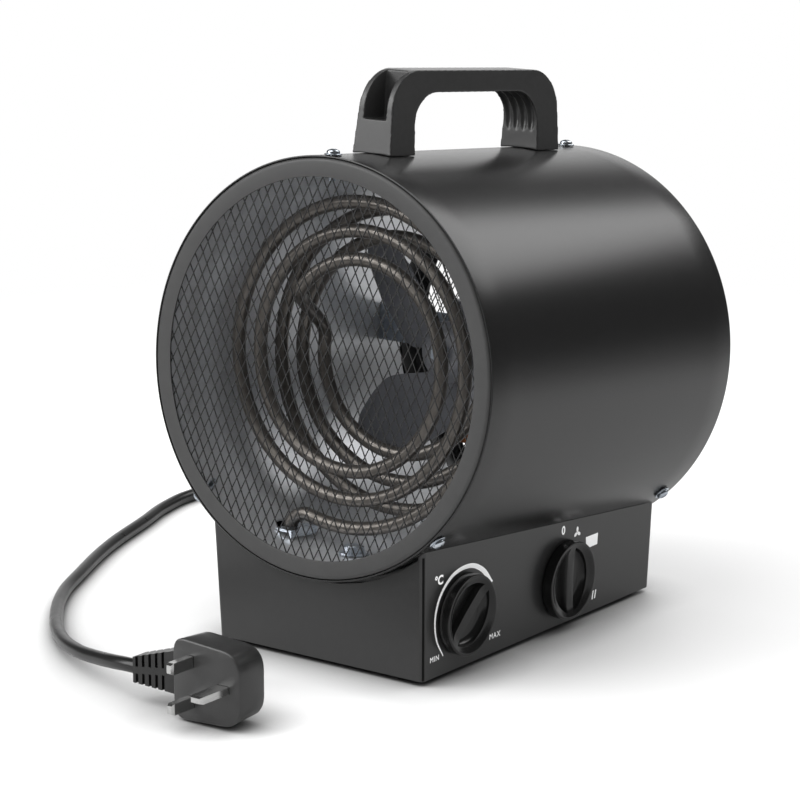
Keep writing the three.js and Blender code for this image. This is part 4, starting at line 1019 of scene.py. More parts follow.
@dataclass
class Studio:
    """Camera, floor, world and lights, with lengths in metres.

    Attributes:
        camera: The camera.
        lamps: The lights.
        aim: What the lights point at.
        sky: Strength of the light from all round.
        behind: Direction of the bright wall that glossy surfaces mirror behind the heater.
        wall_edge: Degrees from the wall's middle where it starts and where it is whole.
        wall: Strength that glossy surfaces mirror beside the wall and in its middle.
        half: Half width of the floor.
        paper: Lightness of the floor in the light that it throws back, and in mirrors.
        plug_shadow_lift: Middle of a patch of painted light round the plug, which lightens the plug's
            shadow on the floor.
        lift_edge: Distances from there where that painted light ends and the rest starts.
        shown: Lightness of the floor in that patch and of the rest, as the camera sees it.
        contact: Reach of the painted contact shadow.
        rim: Distances from the heater over which the floor turns into a plain white ground.
        glow: Strength of the white ground's light, times its distance.
    """

    camera: CameraFit = CameraFit()
    lamps: tuple[Lamp, ...] = (
        Lamp("overhead", (-0.6, -1.2, 2.35), (2.4, 2.4), 42),
        Lamp("key", (-1.5, -1.75, 1.2), (1.6, 1.6), 42),
        Lamp("rear_top", (0.605, 1.66, 1.90), (1.45, 2.0), 27),
        Lamp("rear_low", (-0.9, 1.7, 0.6), (1.2, 0.8), 18, mirrored=False),
    )
    aim: Point = (0, 0, 0.15)
    sky: float = 0.95
    behind: Point = (-0.598, 0.800, -0.05)
    wall_edge: Pair = (34, 20)
    wall: Pair = (0.05, 1.1)
    half: float = 6.0
    paper: Pair = (0.86, 0.52)
    # Painted light round the plug and a painted contact shadow, both seen by the camera only.
    plug_shadow_lift: Point = (0.055, -0.225, 0)
    lift_edge: Pair = (0.03, 0.085)
    shown: Pair = (0.98, 0.70)
    contact: float = 0.035
    rim: Pair = (0.45, 1.1)
    glow: float = 0.48

    def build(self) -> None:
        """Sets up everything that isn't the object."""
        bpy.context.scene.view_settings.view_transform = "Standard"
        self._camera()
        self._world()
        self._floor()
        self._lights()

    def _camera(self) -> None:
        """Puts the camera where the photograph was taken from."""
        data = bpy.data.cameras.new("camera")
        data.lens = self.camera.lens
        data.sensor_width = self.camera.sensor
        data.clip_end = self.camera.reach
        item = link(bpy.data.objects.new("camera", data))
        axes = Matrix((self.camera.right, self.camera.up, self.camera.back)).transposed()
        item.matrix_world = Matrix.Translation(Vector(self.camera.place) * MM) @ axes.to_4x4()
        bpy.context.scene.camera = item

    @staticmethod
    def _ease(tree: Tree, value: Socket, reach: Pair,
              levels: Pair) -> Socket:
        """Eases from one level to another.

        Args:
            tree: The tree.
            value: The value that decides.
            reach: Its values where the change starts and ends.
            levels: The level before and after.

        Returns:
            The level.
        """
        return add_node(tree, "ShaderNodeMapRange", {"interpolation_type": "SMOOTHSTEP"}, Value=value,
                        From_Min=reach[0], From_Max=reach[1], To_Min=levels[0],
                        To_Max=levels[1]).outputs["Result"]

    def _world(self) -> None:
        """Lights the scene from all round, and gives mirrors a dark room with one bright wall."""
        world = bpy.data.worlds.new("studio")
        world.use_nodes = True
        tree = world.node_tree
        white = (1, 1, 1, 1)
        place = add_node(tree, "ShaderNodeTexCoord")
        behind = add_node(tree, "ShaderNodeVectorMath", {"operation": "DOT_PRODUCT"},
                          i0=place.outputs["Generated"], i1=Vector(self.behind).normalized())
        edge = tuple(math.cos(math.radians(angle)) for angle in self.wall_edge)
        wall = self._ease(tree, behind.outputs["Value"], edge, self.wall)
        sky, room, seen = (
            add_node(tree, "ShaderNodeBackground", None, Color=white, Strength=strength).outputs[0]
            for strength in (self.sky, wall, 1.0))
        rays = add_node(tree, "ShaderNodeLightPath")
        mirrored = add_node(tree, "ShaderNodeMixShader", None, Fac=rays.outputs["Is Glossy Ray"],
                            i1=sky, i2=room)
        mix = add_node(tree, "ShaderNodeMixShader", None, Fac=rays.outputs["Is Camera Ray"],
                       i1=mirrored.outputs["Shader"], i2=seen)
        tree.links.new(mix.outputs["Shader"], tree.nodes["World Output"].inputs["Surface"])
        bpy.context.scene.world = world

    def _floor(self) -> None:
        """Lays the floor, which turns into a plain white ground away from the heater."""
        mesh = bpy.data.meshes.new("floor")
        half = self.half
        mesh.from_pydata([(-half, -half, 0), (half, -half, 0), (half, half, 0), (-half, half, 0)],
                         [], [(0, 1, 2, 3)])
        floor = link(bpy.data.objects.new("floor", mesh))
        material = bpy.data.materials.new("floor")
        material.use_nodes = True
        tree = material.node_tree
        place = add_node(tree, "ShaderNodeTexCoord").outputs["Object"]
        rays = add_node(tree, "ShaderNodeLightPath")
        light, mirror = ((*grey(value), 1) for value in self.paper)
        tone = add_node(tree, "ShaderNodeMix", {"data_type": "RGBA"},
                        Factor=rays.outputs["Is Glossy Ray"], A=light, B=mirror)
        shown = add_node(tree, "ShaderNodeMix", {"data_type": "RGBA"},
                         Factor=rays.outputs["Is Camera Ray"], A=tone.outputs["Result"],
                         B=self._floor_tone(tree, place))
        shader = tree.nodes["Principled BSDF"]
        for key, value in (("Base Color", light), ("Roughness", 0.7), ("Specular IOR Level", 0.2)):
            shader.inputs[key].default_value = value
        tree.links.new(shown.outputs["Result"], shader.inputs["Base Color"])
        reach = add_node(tree, "ShaderNodeVectorMath", {"operation": "LENGTH"},
                         i0=place).outputs["Value"]
        faded = add_node(tree, "ShaderNodeMath", {"operation": "DIVIDE"}, i0=self.glow, i1=reach)
        strength = add_node(tree, "ShaderNodeMix", None, Factor=rays.outputs["Is Camera Ray"],
                            A=faded.outputs["Value"], B=1.0)
        ground = add_node(tree, "ShaderNodeEmission", None, Strength=strength.outputs["Result"])
        mix = add_node(tree, "ShaderNodeMixShader", None,
                       Fac=self._ease(tree, reach, self.rim, (0.0, 1.0)),
                       i1=shader.outputs["BSDF"], i2=ground.outputs["Emission"])
        tree.links.new(mix.outputs["Shader"], tree.nodes["Material Output"].inputs["Surface"])
        mesh.materials.append(material)

    def _floor_tone(self, tree: Tree,
                    coords: Socket) -> Socket:
        """Gives the floor's lightness to the camera, with a painted contact shadow and a patch of
        painted light that lightens the plug's shadow.

        Args:
            tree: The floor's tree.
            coords: Places on the floor.

        Returns:
            The lightness.
        """
        # Painted light: the floor round the plug is made lighter, which lightens the plug's shadow.
        away = add_node(tree, "ShaderNodeVectorMath", {"operation": "DISTANCE"}, i0=coords,
                        i1=self.plug_shadow_lift)
        # Painted shade: ambient occlusion darkens the floor next to the heater, the cord and the plug.
        near = add_node(tree, "ShaderNodeAmbientOcclusion", {"samples": 8}, Distance=self.contact)
        return add_node(tree, "ShaderNodeMath", {"operation": "MULTIPLY"},
                        i0=self._ease(tree, away.outputs["Value"], self.lift_edge, self.shown),
                        i1=near.outputs["AO"]).outputs["Value"]

    def _lights(self) -> None:
        """Sets up the lights, each turned to the heater."""
        for lamp in self.lamps:
            data = bpy.data.lights.new(lamp.name, "AREA")
            data.shape = "RECTANGLE"
            data.size, data.size_y = lamp.size
            data.energy = lamp.watts
            item = link(bpy.data.objects.new(lamp.name, data))
            item.visible_glossy = lamp.mirrored
            item.location = lamp.place
            way = Vector(self.aim) - Vector(lamp.place)
            item.rotation_euler = way.to_track_quat("-Z", "Y").to_euler()


PLUG_PINS = ("live_pin", "neutral_pin", "earth_pin")


@dataclass
class PlugPart:
    """The moulded plug body: a D-shaped block that narrows from its face, with seats for the pins.

    Attributes:
        shop: Makes the piece.
        middle: Middle of its face in X and Z.
        outline: Corners of its face.
        corners: Rounding of each corner.
        face: Place of the face along Y.
        steps: Depth of each section behind the face, and how far it is narrowed.
        half: Half height of the face.
        play: Room round the pins.
    """

    shop: Workshop
    middle: Pair = (20.2, 23.4)
    outline: tuple[Pair, ...] = ((-2.8, 0.4), (43.2, 3.2), (43.2, 43.6), (-2.8, 46.4))
    corners: tuple[float, ...] = (9.0, 13.0, 13.0, 9.0)
    face: float = -244.0
    steps: tuple[Pair, ...] = (
        (0.0, 1.0), (0.3, 0.4), (0.9, 0.0), (20.4, 1.1), (22.0, 1.7), (22.9, 3.2))
    half: float = 23.0
    play: float = 0.15

    def build(self) -> Object:
        """Makes the body.

        Returns:
            The body.
        """
        outline = rounded(self.outline, self.corners, 14, closed=True)
        item = self.shop.raw("plug_shell", loft([self._section(outline, *step) for step in self.steps]))
        seats = []
        for name in PLUG_PINS:
            low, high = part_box(name)
            play = Vector((self.play, self.play, self.play))
            seats.append(box_form(low / MM - play, high / MM + play))
        self.shop.cut(item, seats)
        return self.shop.finish(item, Slot.PLUG, ["plug_body"], angle=40)

    def _section(self, outline: Sequence[Pair], depth: float,
                 inset: float) -> list[Vector]:
        """Gives a section of the body.

        Args:
            outline: The face's outline.
            depth: Depth of the section behind the face.
            inset: How far it is narrowed.

        Returns:
            The section's points.
        """
        share = 1 - inset / self.half
        return [Vector((self.middle[0] + (x - self.middle[0]) * share, self.face + depth,
                        self.middle[1] + (z - self.middle[1]) * share)) for x, z in outline]


@dataclass
class CordMaker:
    """The mains cord as one curve.

    Attributes:
        route: Its route.
        nodes: The CAD's nodes by name.
    """

    route: CordRoute
    nodes: dict[str, Object]

    def build(self, material: Material, plug: Object) -> Object:
        """Makes the cord, hangs it on the root body and hides the CAD's cord.

        Args:
            material: The cord's rubber.
            plug: The plug's body; not used.

        Returns:
            The cord's curve.
        """
        route = self.route
        places = [Vector(point) for point in route.lead]
        places += coil_points(route, 24)
        places += [Vector(point) for point in route.run]
        data = bpy.data.curves.new("mains_cord", "CURVE")
        data.dimensions = "3D"
        data.bevel_depth = route.radius * MM
        data.bevel_resolution = 5
        data.resolution_u = 6
        data.use_fill_caps = True
        spline = data.splines.new("BEZIER")
        spline.bezier_points.add(len(places) - 1)
        for bezier, place in zip(spline.bezier_points, places):
            bezier.co = place * MM
            bezier.handle_left_type = "AUTO"
            bezier.handle_right_type = "AUTO"
        data.materials.append(material)
        cord = link(bpy.data.objects.new("mains_cord", data))
        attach(cord, Body.ROOT.value)
        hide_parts("cord_lead", "cord_coil", "cord_run")
        return cord


@dataclass(frozen=True)
class Leg:
    """A cold end of the heating element.

    Attributes:
        x: Where its straight part runs, in the drum's frame.
        y: Its place along the axis.
        bend_z: Where its bend ends.
        turn: 1 if its spiral runs clockwise from the crossing, else -1.
        sweep: How far its spiral runs, in degrees.
    """

    x: float
    y: float
    bend_z: float
    turn: int
    sweep: float


LEFT_LEG = Leg(-42.545, -87.7, -102.024, 1, 963.5)
RIGHT_LEG = Leg(43.459, -45.7, -94.591, -1, 833.0)
TUBE_GAP = 0.3
HANDLE_SCREWS = (-72.0, 72.0)


def rod(radius: float, start: Point, end: Point, sides: int = 24) -> Form:
    """Makes a straight round bar.

    Args:
        radius: Its radius.
        start: One end of its axis.
        end: The other end.
        sides: Facets round it.

    Returns:
        The bar.
    """
    low, high = Vector(start), Vector(end)
    axis = high - low
    bar = lathe([(0, 0), (radius, 0), (radius, axis.length), (0, axis.length)], sides)
    return bar.moved(Matrix.Translation(low) @ turn_to(axis))


class NodeTree:
    """A Geometry Nodes tree under construction."""

    def __init__(self, name: str) -> None:
        """Starts the tree.

        Args:
            name: Its name.
        """
        self.tree = bpy.data.node_groups.new(name, "GeometryNodeTree")
        self.inputs = self.tree.nodes.new("NodeGroupInput")
        self.outputs = self.tree.nodes.new("NodeGroupOutput")
        self.keys: dict[str, str] = {}

    def value(self, name: str, kind: str) -> Socket:
        """Adds a named input.

        Args:
            name: Name of the input.
            kind: Kind of its value, as in Float.

        Returns:
            The socket to link from.
        """
        item = self.tree.interface.new_socket(name, in_out="INPUT", socket_type=f"NodeSocket{kind}")
        self.keys[name] = item.identifier
        return next(end for end in self.inputs.outputs if end.identifier == item.identifier)

    def node(self, kind: str, settings: dict[str, object] | None = None,
             **inputs: object) -> bpy.types.Node:
        """Adds a node.

        Args:
            kind: Its type.
            settings: Its properties.
            inputs: Sockets or values for its inputs, as in add_node.

        Returns:
            The node.
        """
        return add_node(self.tree, kind, settings, **inputs)

    def math(self, operation: str, first: object, second: object) -> Socket:
        """Adds a calculation.

        Args:
            operation: What it does.
            first: Its first value or socket.
            second: Its second value or socket.

        Returns:
            The result.
        """
        return self.node("ShaderNodeMath", {"operation": operation}, i0=first, i1=second).outputs[0]

    def finish(self, geometry: Socket, material: Socket) -> None:
        """Paints the geometry and makes it the tree's result.

        Args:
            geometry: The geometry.
            material: The material.
        """
        painted = self.node("GeometryNodeSetMaterial", None, Geometry=geometry, Material=material)
        self.tree.interface.new_socket("Geometry", in_out="OUTPUT",
                                       socket_type="NodeSocketGeometry")
        self.tree.links.new(painted.outputs[0], self.outputs.inputs[0])

    def apply(self, shop: Workshop, name: str, values: dict[str, object]) -> Object:
        """Makes an object from the tree and turns it into a plain mesh.

        Args:
            shop: Bakes the object.
            name: Name of the object.
            values: Values of the named inputs.

        Returns:
            The object.
        """
        item = link(bpy.data.objects.new(name, bpy.data.meshes.new(name)))
        modifier = item.modifiers.new("nodes", "NODES")
        modifier.node_group = self.tree
        for key, value in values.items():
            modifier[self.keys[key]] = value
        item.update_tag()
        bpy.context.view_layer.update()
        shop.bake(item)
        return item


def mesh_tree() -> NodeTree:
    """Builds the tree of the expanded diamond mesh: two staggered grids of crossings.

    Returns:
        The tree, with its inputs.
    """
    made = NodeTree("diamond_mesh")
    width, height, columns, rows, radius, piece, finish = (made.value(*pair) for pair in (
        ("Cell Width", "Float"), ("Cell Height", "Float"), ("Columns", "Int"), ("Rows", "Int"),
        ("Radius", "Float"), ("Piece", "Object"), ("Finish", "Material")))
    grid = made.node("GeometryNodeMeshGrid", None, Size_X=made.math("MULTIPLY", width, columns),
                     Size_Y=made.math("MULTIPLY", height, rows),
                     Vertices_X=made.math("ADD", columns, 1.0), Vertices_Y=made.math("ADD", rows, 1.0))
    step = made.node("ShaderNodeCombineXYZ", None, X=made.math("MULTIPLY", width, 0.5),
                     Y=made.math("MULTIPLY", height, 0.5))
    staggered = made.node("GeometryNodeTransform", None, Geometry=grid.outputs["Mesh"],
                          Translation=step.outputs[0])
    both = made.node("GeometryNodeJoinGeometry")
    made.tree.links.new(grid.outputs["Mesh"], both.inputs[0])
    made.tree.links.new(staggered.outputs[0], both.inputs[0])
    place = made.node("GeometryNodeInputPosition")
    reach = made.node("ShaderNodeVectorMath", {"operation": "LENGTH"}, i0=place.outputs[0])
    inside = made.math("LESS_THAN", reach.outputs["Value"], radius)
    shape = made.node("GeometryNodeObjectInfo", None, Object=piece)
    crossings = made.node("GeometryNodeInstanceOnPoints", None, Points=both.outputs[0],
                          Selection=inside, Instance=shape.outputs["Geometry"])
    real = made.node("GeometryNodeRealizeInstances", None, Geometry=crossings.outputs[0])
    merged = made.node("GeometryNodeMergeByDistance", None, Geometry=real.outputs[0], Distance=2e-5)
    made.finish(merged.outputs[0], finish)
    return made


def screw_tree() -> NodeTree:
    """Builds the tree that sets a screw on every marked seat, pointing along the seat's normal.

    Returns:
        The tree, with its inputs.
    """
    made = NodeTree("screw_rows")
    seats, piece, finish = (made.value(*pair) for pair in (
        ("Seats", "Object"), ("Piece", "Object"), ("Finish", "Material")))
    marks = made.node("GeometryNodeObjectInfo", None, Object=seats)
    normal = made.node("GeometryNodeInputNormal")
    kept = made.node("GeometryNodeCaptureAttribute", {"domain": "FACE"})
    kept.capture_items.new("VECTOR", "Normal")
    made.tree.links.new(marks.outputs["Geometry"], kept.inputs["Geometry"])
    made.tree.links.new(normal.outputs[0], kept.inputs[1])
    points = made.node("GeometryNodeMeshToPoints", {"mode": "FACES"}, Mesh=kept.outputs["Geometry"])
    aim = made.node("FunctionNodeAlignRotationToVector", {"axis": "Z"}, Vector=kept.outputs[1])
    shape = made.node("GeometryNodeObjectInfo", None, Object=piece)
    placed = made.node("GeometryNodeInstanceOnPoints", None, Points=points.outputs[0],
                       Instance=shape.outputs["Geometry"], Rotation=aim.outputs[0])
    real = made.node("GeometryNodeRealizeInstances", None, Geometry=placed.outputs[0])
    made.finish(real.outputs[0], finish)
    return made


@dataclass(frozen=True)
class DiamondCell:
    """A cell of the expanded mesh.

    Attributes:
        width: Distance between crossings across.
        height: Distance between crossings upwards.
        thick: Thickness of the sheet.
        strand: Width of a strand.
    """

    width: float = 6.4
    height: float = 12.5
    thick: float = 0.7
    strand: float = 0.36

    def crossing(self) -> Form:
        """Makes one crossing with its four arms, each open where the next crossing joins on.

        Returns:
            The crossing, flat in X and Y.
        """
        slope = math.hypot(self.width, self.height)
        crotch_x = self.strand / 2 * slope / self.height
        crotch_y = self.strand / 2 * slope / self.width
        across = Vector((-self.height, self.width, 0)).normalized() * self.strand / 2
        loop: list[Vector] = []
        for sx, sy, crotch in ((1, 1, (0, crotch_y)), (-1, 1, (-crotch_x, 0)),
                               (-1, -1, (0, -crotch_y)), (1, -1, (crotch_x, 0))):
            end = Vector((sx * self.width / 4, sy * self.height / 4, 0))
            side = Vector((across.x * sx, across.y * sy, 0)) * (sx * sy)
            loop += [end - side, end + side, Vector((*crotch, 0))]
        flat = [place + Vector((0, 0, level)) for level in (self.thick / 2, -self.thick / 2)
                for place in loop]
        faces: list[tuple[int, ...]] = []
        for first in range(0, 12, 3):
            before, second, crotch = (first - 1) % 12, first + 1, first + 2
            faces += [(before, first, second, crotch),
                      (12 + crotch, 12 + second, 12 + first, 12 + before),
                      (before, 12 + before, 12 + first, first),
                      (second, 12 + second, 12 + crotch, crotch)]
        faces += [(2, 5, 8, 11), (23, 20, 17, 14)]
        return Form(flat, faces)


@dataclass
class DrumParts:
    """The rolled tube with its rings, meshes, heat shield and screws.

    Attributes:
        shop: Makes the pieces.
        rows: Rows of vertices along the tube.
        tube_edges: Rounding of the tube's outer and inner edges.
        leg_hole: Radius of the holes for the element's cold ends.
        screw_hole: Radius of the holes for the ring and saddle screws.
        handle_hole: Radius of the holes for the handle's screws.
        ring_angles: Clock angles of the ring screws, in degrees.
        ring_rows: Their places along the axis, front and rear.
        saddle_angles: Clock angles of the saddle screws, in degrees.
        saddle_rows: Their places along the axis.
        ring_outer: Outer radius of the rings.
        ring_inner: Inner radius of the rings.
        ring_proud: How far the rings stand out of the tube.
        flanges: Depth of the front and the rear ring's flange.
        liner: Bore and outer radius of the heat shield.
        liner_front: Where the heat shield starts.
        liner_flanges: Front of its front flange and rear of its rear flange.
        cell: A cell of the meshes.
        cells: Columns and rows of cells.
        mesh_radius: Radius that holds the crossings.
        mesh_inset: How far the meshes stand inside the tube's edges.
    """

    shop: Workshop
    rows: int = 13
    tube_edges: Pair = (0.8, 0.18)
    leg_hole: float = 7.5
    screw_hole: float = 2.4
    handle_hole: float = 2.8
    ring_angles: tuple[float, ...] = (0, 135, 225)
    ring_rows: Pair = (-118.5, 112.0)
    saddle_angles: tuple[float, ...] = (158, 202)
    saddle_rows: Pair = (-97.9, 104.4)
    ring_outer: float = 116.7
    ring_inner: float = 106.3
    ring_proud: float = 0.8
    flanges: Pair = (13.0, 14.6)
    liner: Pair = (108.5, 109.5)
    liner_front: float = -120.5
    liner_flanges: Pair = (-107.7, 98.3)
    cell: DiamondCell = DiamondCell()
    cells: tuple[int, int] = (36, 18)
    mesh_radius: float = 111.6
    mesh_inset: float = 1.1

    def build(self) -> None:
        """Makes every piece."""
        self._shell()
        self._liner()
        ends = (("front", 1), ("rear", -1))
        for (end, toward), flange, row in zip(ends, self.flanges, self.ring_rows):
            self._ring(end, toward, flange, row)
        nodes = mesh_tree()
        for end, toward in ends:
            self._mesh(end, toward, nodes)
        self._screws()

    @staticmethod
    def _holes(radius: float, rows: Iterable[float], angles: Iterable[float]) -> list[Form]:
        """Gives the cutters of screw holes round the drum.

        Args:
            radius: Radius of the holes.
            rows: Their places along the axis.
            angles: Their clock angles in degrees.

        Returns:
            The cutters in the drum's frame.
        """
        places = [(math.radians(angle), y) for y in rows for angle in angles]
        return [rod(radius, DRUM.around(turn, 100, y), DRUM.around(turn, 125, y)) for turn, y in places]

    def _leg_holes(self) -> list[Form]:
        """Gives the cutters of the holes for the element's cold ends.

        Returns:
            The cutters in the drum's frame.
        """
        return [rod(self.leg_hole, (leg.x, leg.y, -80), (leg.x, leg.y, -135), 48)
                for leg in (LEFT_LEG, RIGHT_LEG)]

    def _shell(self) -> None:
        """Makes the rolled tube with its holes."""
        rows = np.linspace(DRUM.front, DRUM.rear, self.rows).tolist()
        corners = [(DRUM.radius, y) for y in rows]
        corners += [(DRUM.radius - DRUM.wall, y) for y in reversed(rows)]
        radii = [edge if row in (0, self.rows - 1) else 0.0
                 for edge in self.tube_edges for row in range(self.rows)]
        profile = rounded(corners, radii, 3, closed=True)
        item = self.shop.raw("drum_tube", lathe(profile, 288, closed=True), DRUM.matrix)
        cutters = self._leg_holes()
        cutters += self._holes(self.screw_hole, self.ring_rows, self.ring_angles)
        cutters += self._holes(self.screw_hole, self.saddle_rows, self.saddle_angles)
        cutters += self._holes(self.handle_hole, HANDLE_SCREWS, (0,))
        self.shop.cut(item, cutters, DRUM.matrix)
        self.shop.finish(item, Slot.DRUM, ["drum_shell"])

    def _liner(self) -> None:
        """Makes the heat shield."""
        (bore, outer), (front, rear) = self.liner, self.liner_flanges
        profile = rounded([
            (bore, self.liner_front), (outer, self.liner_front), (outer, front),
            (self.ring_outer, front), (self.ring_outer, front + 1), (outer, front + 1),
            (outer, rear - 1), (self.ring_outer, rear - 1), (self.ring_outer, rear), (bore, rear),
        ], 0.3, 2, closed=True)
        item = self.shop.raw("heat_shield", lathe(profile, 224, closed=True), DRUM.matrix)
        self.shop.cut(item, self._leg_holes(), DRUM.matrix)
        self.shop.finish(item, Slot.SHIELD, ["inner_liner"])

    def _ring(self, end: str, toward: int, flange: float, row: float) -> None:
        """Makes an end ring with its screw holes.

        Args:
            end: Which end it closes.
            toward: 1 where the drum lies rearward of the ring, else -1.
            flange: Depth of its flange.
            row: Place of its screws along the axis.
        """
        face = (DRUM.front if toward > 0 else DRUM.rear) - toward * self.ring_proud
        back, tail = face + toward, face + toward * flange
        inner = self.ring_outer - 1
        corners = [
            (self.ring_inner, back, 0.3), (self.ring_inner, face, 0.3), (self.ring_outer, face, 2.3),
            (self.ring_outer, tail, 0.3), (inner, tail, 0.3), (inner, back, 0.4),
        ]
        profile = rounded([(r, y) for r, y, _ in corners], [reach for *_, reach in corners], 5,
                          closed=True)
        item = self.shop.raw(f"{end}_end_ring", lathe(profile, 256, closed=True), DRUM.matrix)
        self.shop.cut(item, self._holes(self.screw_hole, (row,), self.ring_angles), DRUM.matrix)
        self.shop.finish(item, Slot.RING, [f"{end}_ring"])

    def _mesh(self, end: str, toward: int, nodes: NodeTree) -> None:
        """Makes a diamond mesh.

        Args:
            end: Which end it guards.
            toward: 1 where the drum lies rearward of the mesh, else -1.
            nodes: The mesh's tree.
        """
        piece = self.shop.raw("crossing", self.cell.crossing())
        item = nodes.apply(self.shop, f"{end}_diamond_mesh", {
            "Cell Width": self.cell.width * MM, "Cell Height": self.cell.height * MM,
            "Columns": self.cells[0], "Rows": self.cells[1], "Radius": self.mesh_radius * MM,
            "Piece": piece, "Finish": self.shop.materials.of(Slot.GRILLE),
        })
        bpy.data.objects.remove(piece)
        y = (DRUM.front if toward > 0 else DRUM.rear) + toward * self.mesh_inset
        upright = Matrix.Translation((0, y, 0)) @ Matrix.Rotation(math.radians(90), 4, "X")
        item.data.transform(DRUM.matrix @ upright @ Matrix.Scale(1 / MM, 4))
        self.shop.tend(item.data, 4)
        self.shop.finish(item, Slot.GRILLE, [f"{end}_grille"], angle=50)

    def _screws(self) -> None:
        """Makes the six ring screws, one on each marked seat."""
        places: list[Vector] = []
        faces: list[tuple[int, ...]] = []
        axis = Vector((0, 0.5, 0))
        for turn, y in ((math.radians(angle), y) for angle in self.ring_angles
                        for y in self.ring_rows):
            centre = DRUM.around(turn, DRUM.radius + TUBE_GAP, y)
            tangent = DRUM.around(turn + math.pi / 2, 0.5, 0)
            start = len(places)
            places += [centre - tangent - axis, centre + tangent - axis, centre + tangent + axis,
                       centre - tangent + axis]
            faces.append((start, start + 1, start + 2, start + 3))
        marks = bpy.data.meshes.new("seats")
        marks.from_pydata([tuple(DRUM.matrix @ place) for place in places], [], faces)
        holder = link(bpy.data.objects.new("seats", marks))
        piece = self._screw()
        item = screw_tree().apply(self.shop, "shell_screws", {
            "Seats": holder, "Piece": piece, "Finish": self.shop.materials.of(Slot.ZINC),
        })
        bpy.data.objects.remove(piece)
        bpy.data.objects.remove(holder)
        names = [f"shell_screw_{side}_{end}" for side in ("top", "right", "left")
                 for end in ("front", "rear")]
        self.shop.finish(item, Slot.ZINC, names, angle=40)

    def _screw(self) -> Object:
        """Makes one pan-head screw with a cross slot.

        Returns:
            The screw, with its head along Z.
        """
        crown = ellipse_arc((0, 1.8), (3.7, 1.7), 0, 90, 8)
        profile = [(0, -15), (1.9, -14), (1.9, 0), (4.6, 0), (4.9, 0.2), (4.9, 0.7), (4.7, 0.9),
                   (3.7, 0.9), *crown[:-1], (0, crown[-1][1])]
        upright = PART @ Matrix.Rotation(math.radians(90), 4, "X")
        item = self.shop.raw("screw", lathe(profile, 40), upright)
        self.shop.cut(item, [box_form((-2.1, -0.42, 2.2), (2.1, 0.42, 5)),
                             box_form((-0.42, -2.1, 2.2), (0.42, 2.1, 5))])
        return item


NODE_SLOTS: dict[Slot, str] = {
    Slot.ZINC: """element_bracket_left element_bracket_right thermal_cutout fan_nut
        motor_front_bracket motor_rear_bracket motor_bolt_left motor_bolt_right motor_mount
        handle_screw_front handle_screw_rear saddle_screw_front_right saddle_screw_front_left
        saddle_screw_rear_right saddle_screw_rear_left thermostat_stem selector_stem""",
    Slot.LAMINATION: "motor_rotor motor_stator",
    Slot.COPPER: "motor_coil",
    Slot.BASE: "front_saddle rear_saddle base_plate",
    Slot.RUBBER: """foot_front_left foot_front_right foot_rear_left foot_rear_right cable_gland
        plug_relief""",
    Slot.INSULATOR: "thermostat_body selector_body terminal_block",
    Slot.PIN: " ".join(PLUG_PINS),
}


@dataclass
class HeatParts:
    """The sheathed heating element, one tube wound into two spirals.

    Attributes:
        shop: Makes the piece.
        tube: Radius of the sheath.
        inner_radius: Radius of the spirals where the tube crosses over.
        pitch: How much a turn widens.
        centre: Centre of the spirals in the drum's frame.
        start: Clock angle where the left leg's spiral starts, in degrees.
        cross: How far the tube runs round while it crosses over, in degrees.
        bend: Radius of the bends into the cold ends.
        leg_end: How far under the axis the sheath ends.
        pin: Radius and length of a terminal pin.
    """

    shop: Workshop
    tube: float = 4.0
    inner_radius: float = 54.0
    pitch: float = 16.1
    centre: Point = (-1.7, 0, 3.0)
    start: float = -47.0
    cross: float = 40.0
    bend: float = 12.0
    leg_end: float = 130.0
    pin: Pair = (1.6, 9.0)

    def build(self) -> None:
        """Makes the element."""
        start, cross = math.radians(self.start), math.radians(self.cross)
        left = self._spiral(start, LEFT_LEG)
        right = self._spiral(start - cross, RIGHT_LEG)
        crossing = []
        for step in range(1, 16):
            share = step / 16
            y = LEFT_LEG.y + (RIGHT_LEG.y - LEFT_LEG.y) * smoothstep(share)
            place = DRUM.around(start - cross * share, self.inner_radius, y)
            crossing.append(place + Vector(self.centre))
        sheath = sweep([*reversed(left), *crossing, *right], self.tube, 20)
        radius, length = self.pin
        top, tip = 1 - self.leg_end, -self.leg_end - length
        pins = [rod(radius, (leg.x, leg.y, top), (leg.x, leg.y, tip), 16)
                for leg in (LEFT_LEG, RIGHT_LEG)]
        item = self.shop.raw("element_sheath", sheath.joined(*pins), DRUM.matrix)
        self.shop.finish(item, Slot.SHEATH, ["heating_element"], angle=50)

    def _spiral(self, start: float, leg: Leg) -> list[Vector]:
        """Runs a spiral outwards and on into its cold end.

        Args:
            start: Clock angle where it starts, in radians.
            leg: The cold end.

        Returns:
            Places along the tube's axis.
        """
        sweep_angle = math.radians(leg.sweep)
        count = round(leg.sweep / 4)
        places = []
        for step in range(count + 1):
            turned = sweep_angle * step / count
            radius = self.inner_radius + self.pitch * turned / math.tau
            place = DRUM.around(start + leg.turn * turned, radius, leg.y)
            places.append(place + Vector(self.centre))
        return places + self._cold_end(places[-1], leg)

    def _cold_end(self, end: Vector, leg: Leg) -> list[Vector]:
        """Bends the tube down and runs it out of the drum.

        Args:
            end: Where the spiral ends.
            leg: The cold end.

        Returns:
            Places along the tube's axis after the spiral.
        """
        side = math.copysign(1, leg.x)
        centre = Vector((leg.x - side * self.bend, leg.y, leg.bend_z))
        start = math.atan2(end.z - centre.z, end.x - centre.x)
        whole = math.remainder((0.0 if side > 0 else math.pi) - start, math.tau)
        places = []
        for step in range(1, 11):
            angle = start + whole * step / 10
            places.append(centre + Vector((math.cos(angle), 0, math.sin(angle))) * self.bend)
        for share in (0.25, 0.5, 0.75, 1.0):
            height = leg.bend_z + (-self.leg_end - leg.bend_z) * share
            places.append(Vector((leg.x, leg.y, height)))
        return places


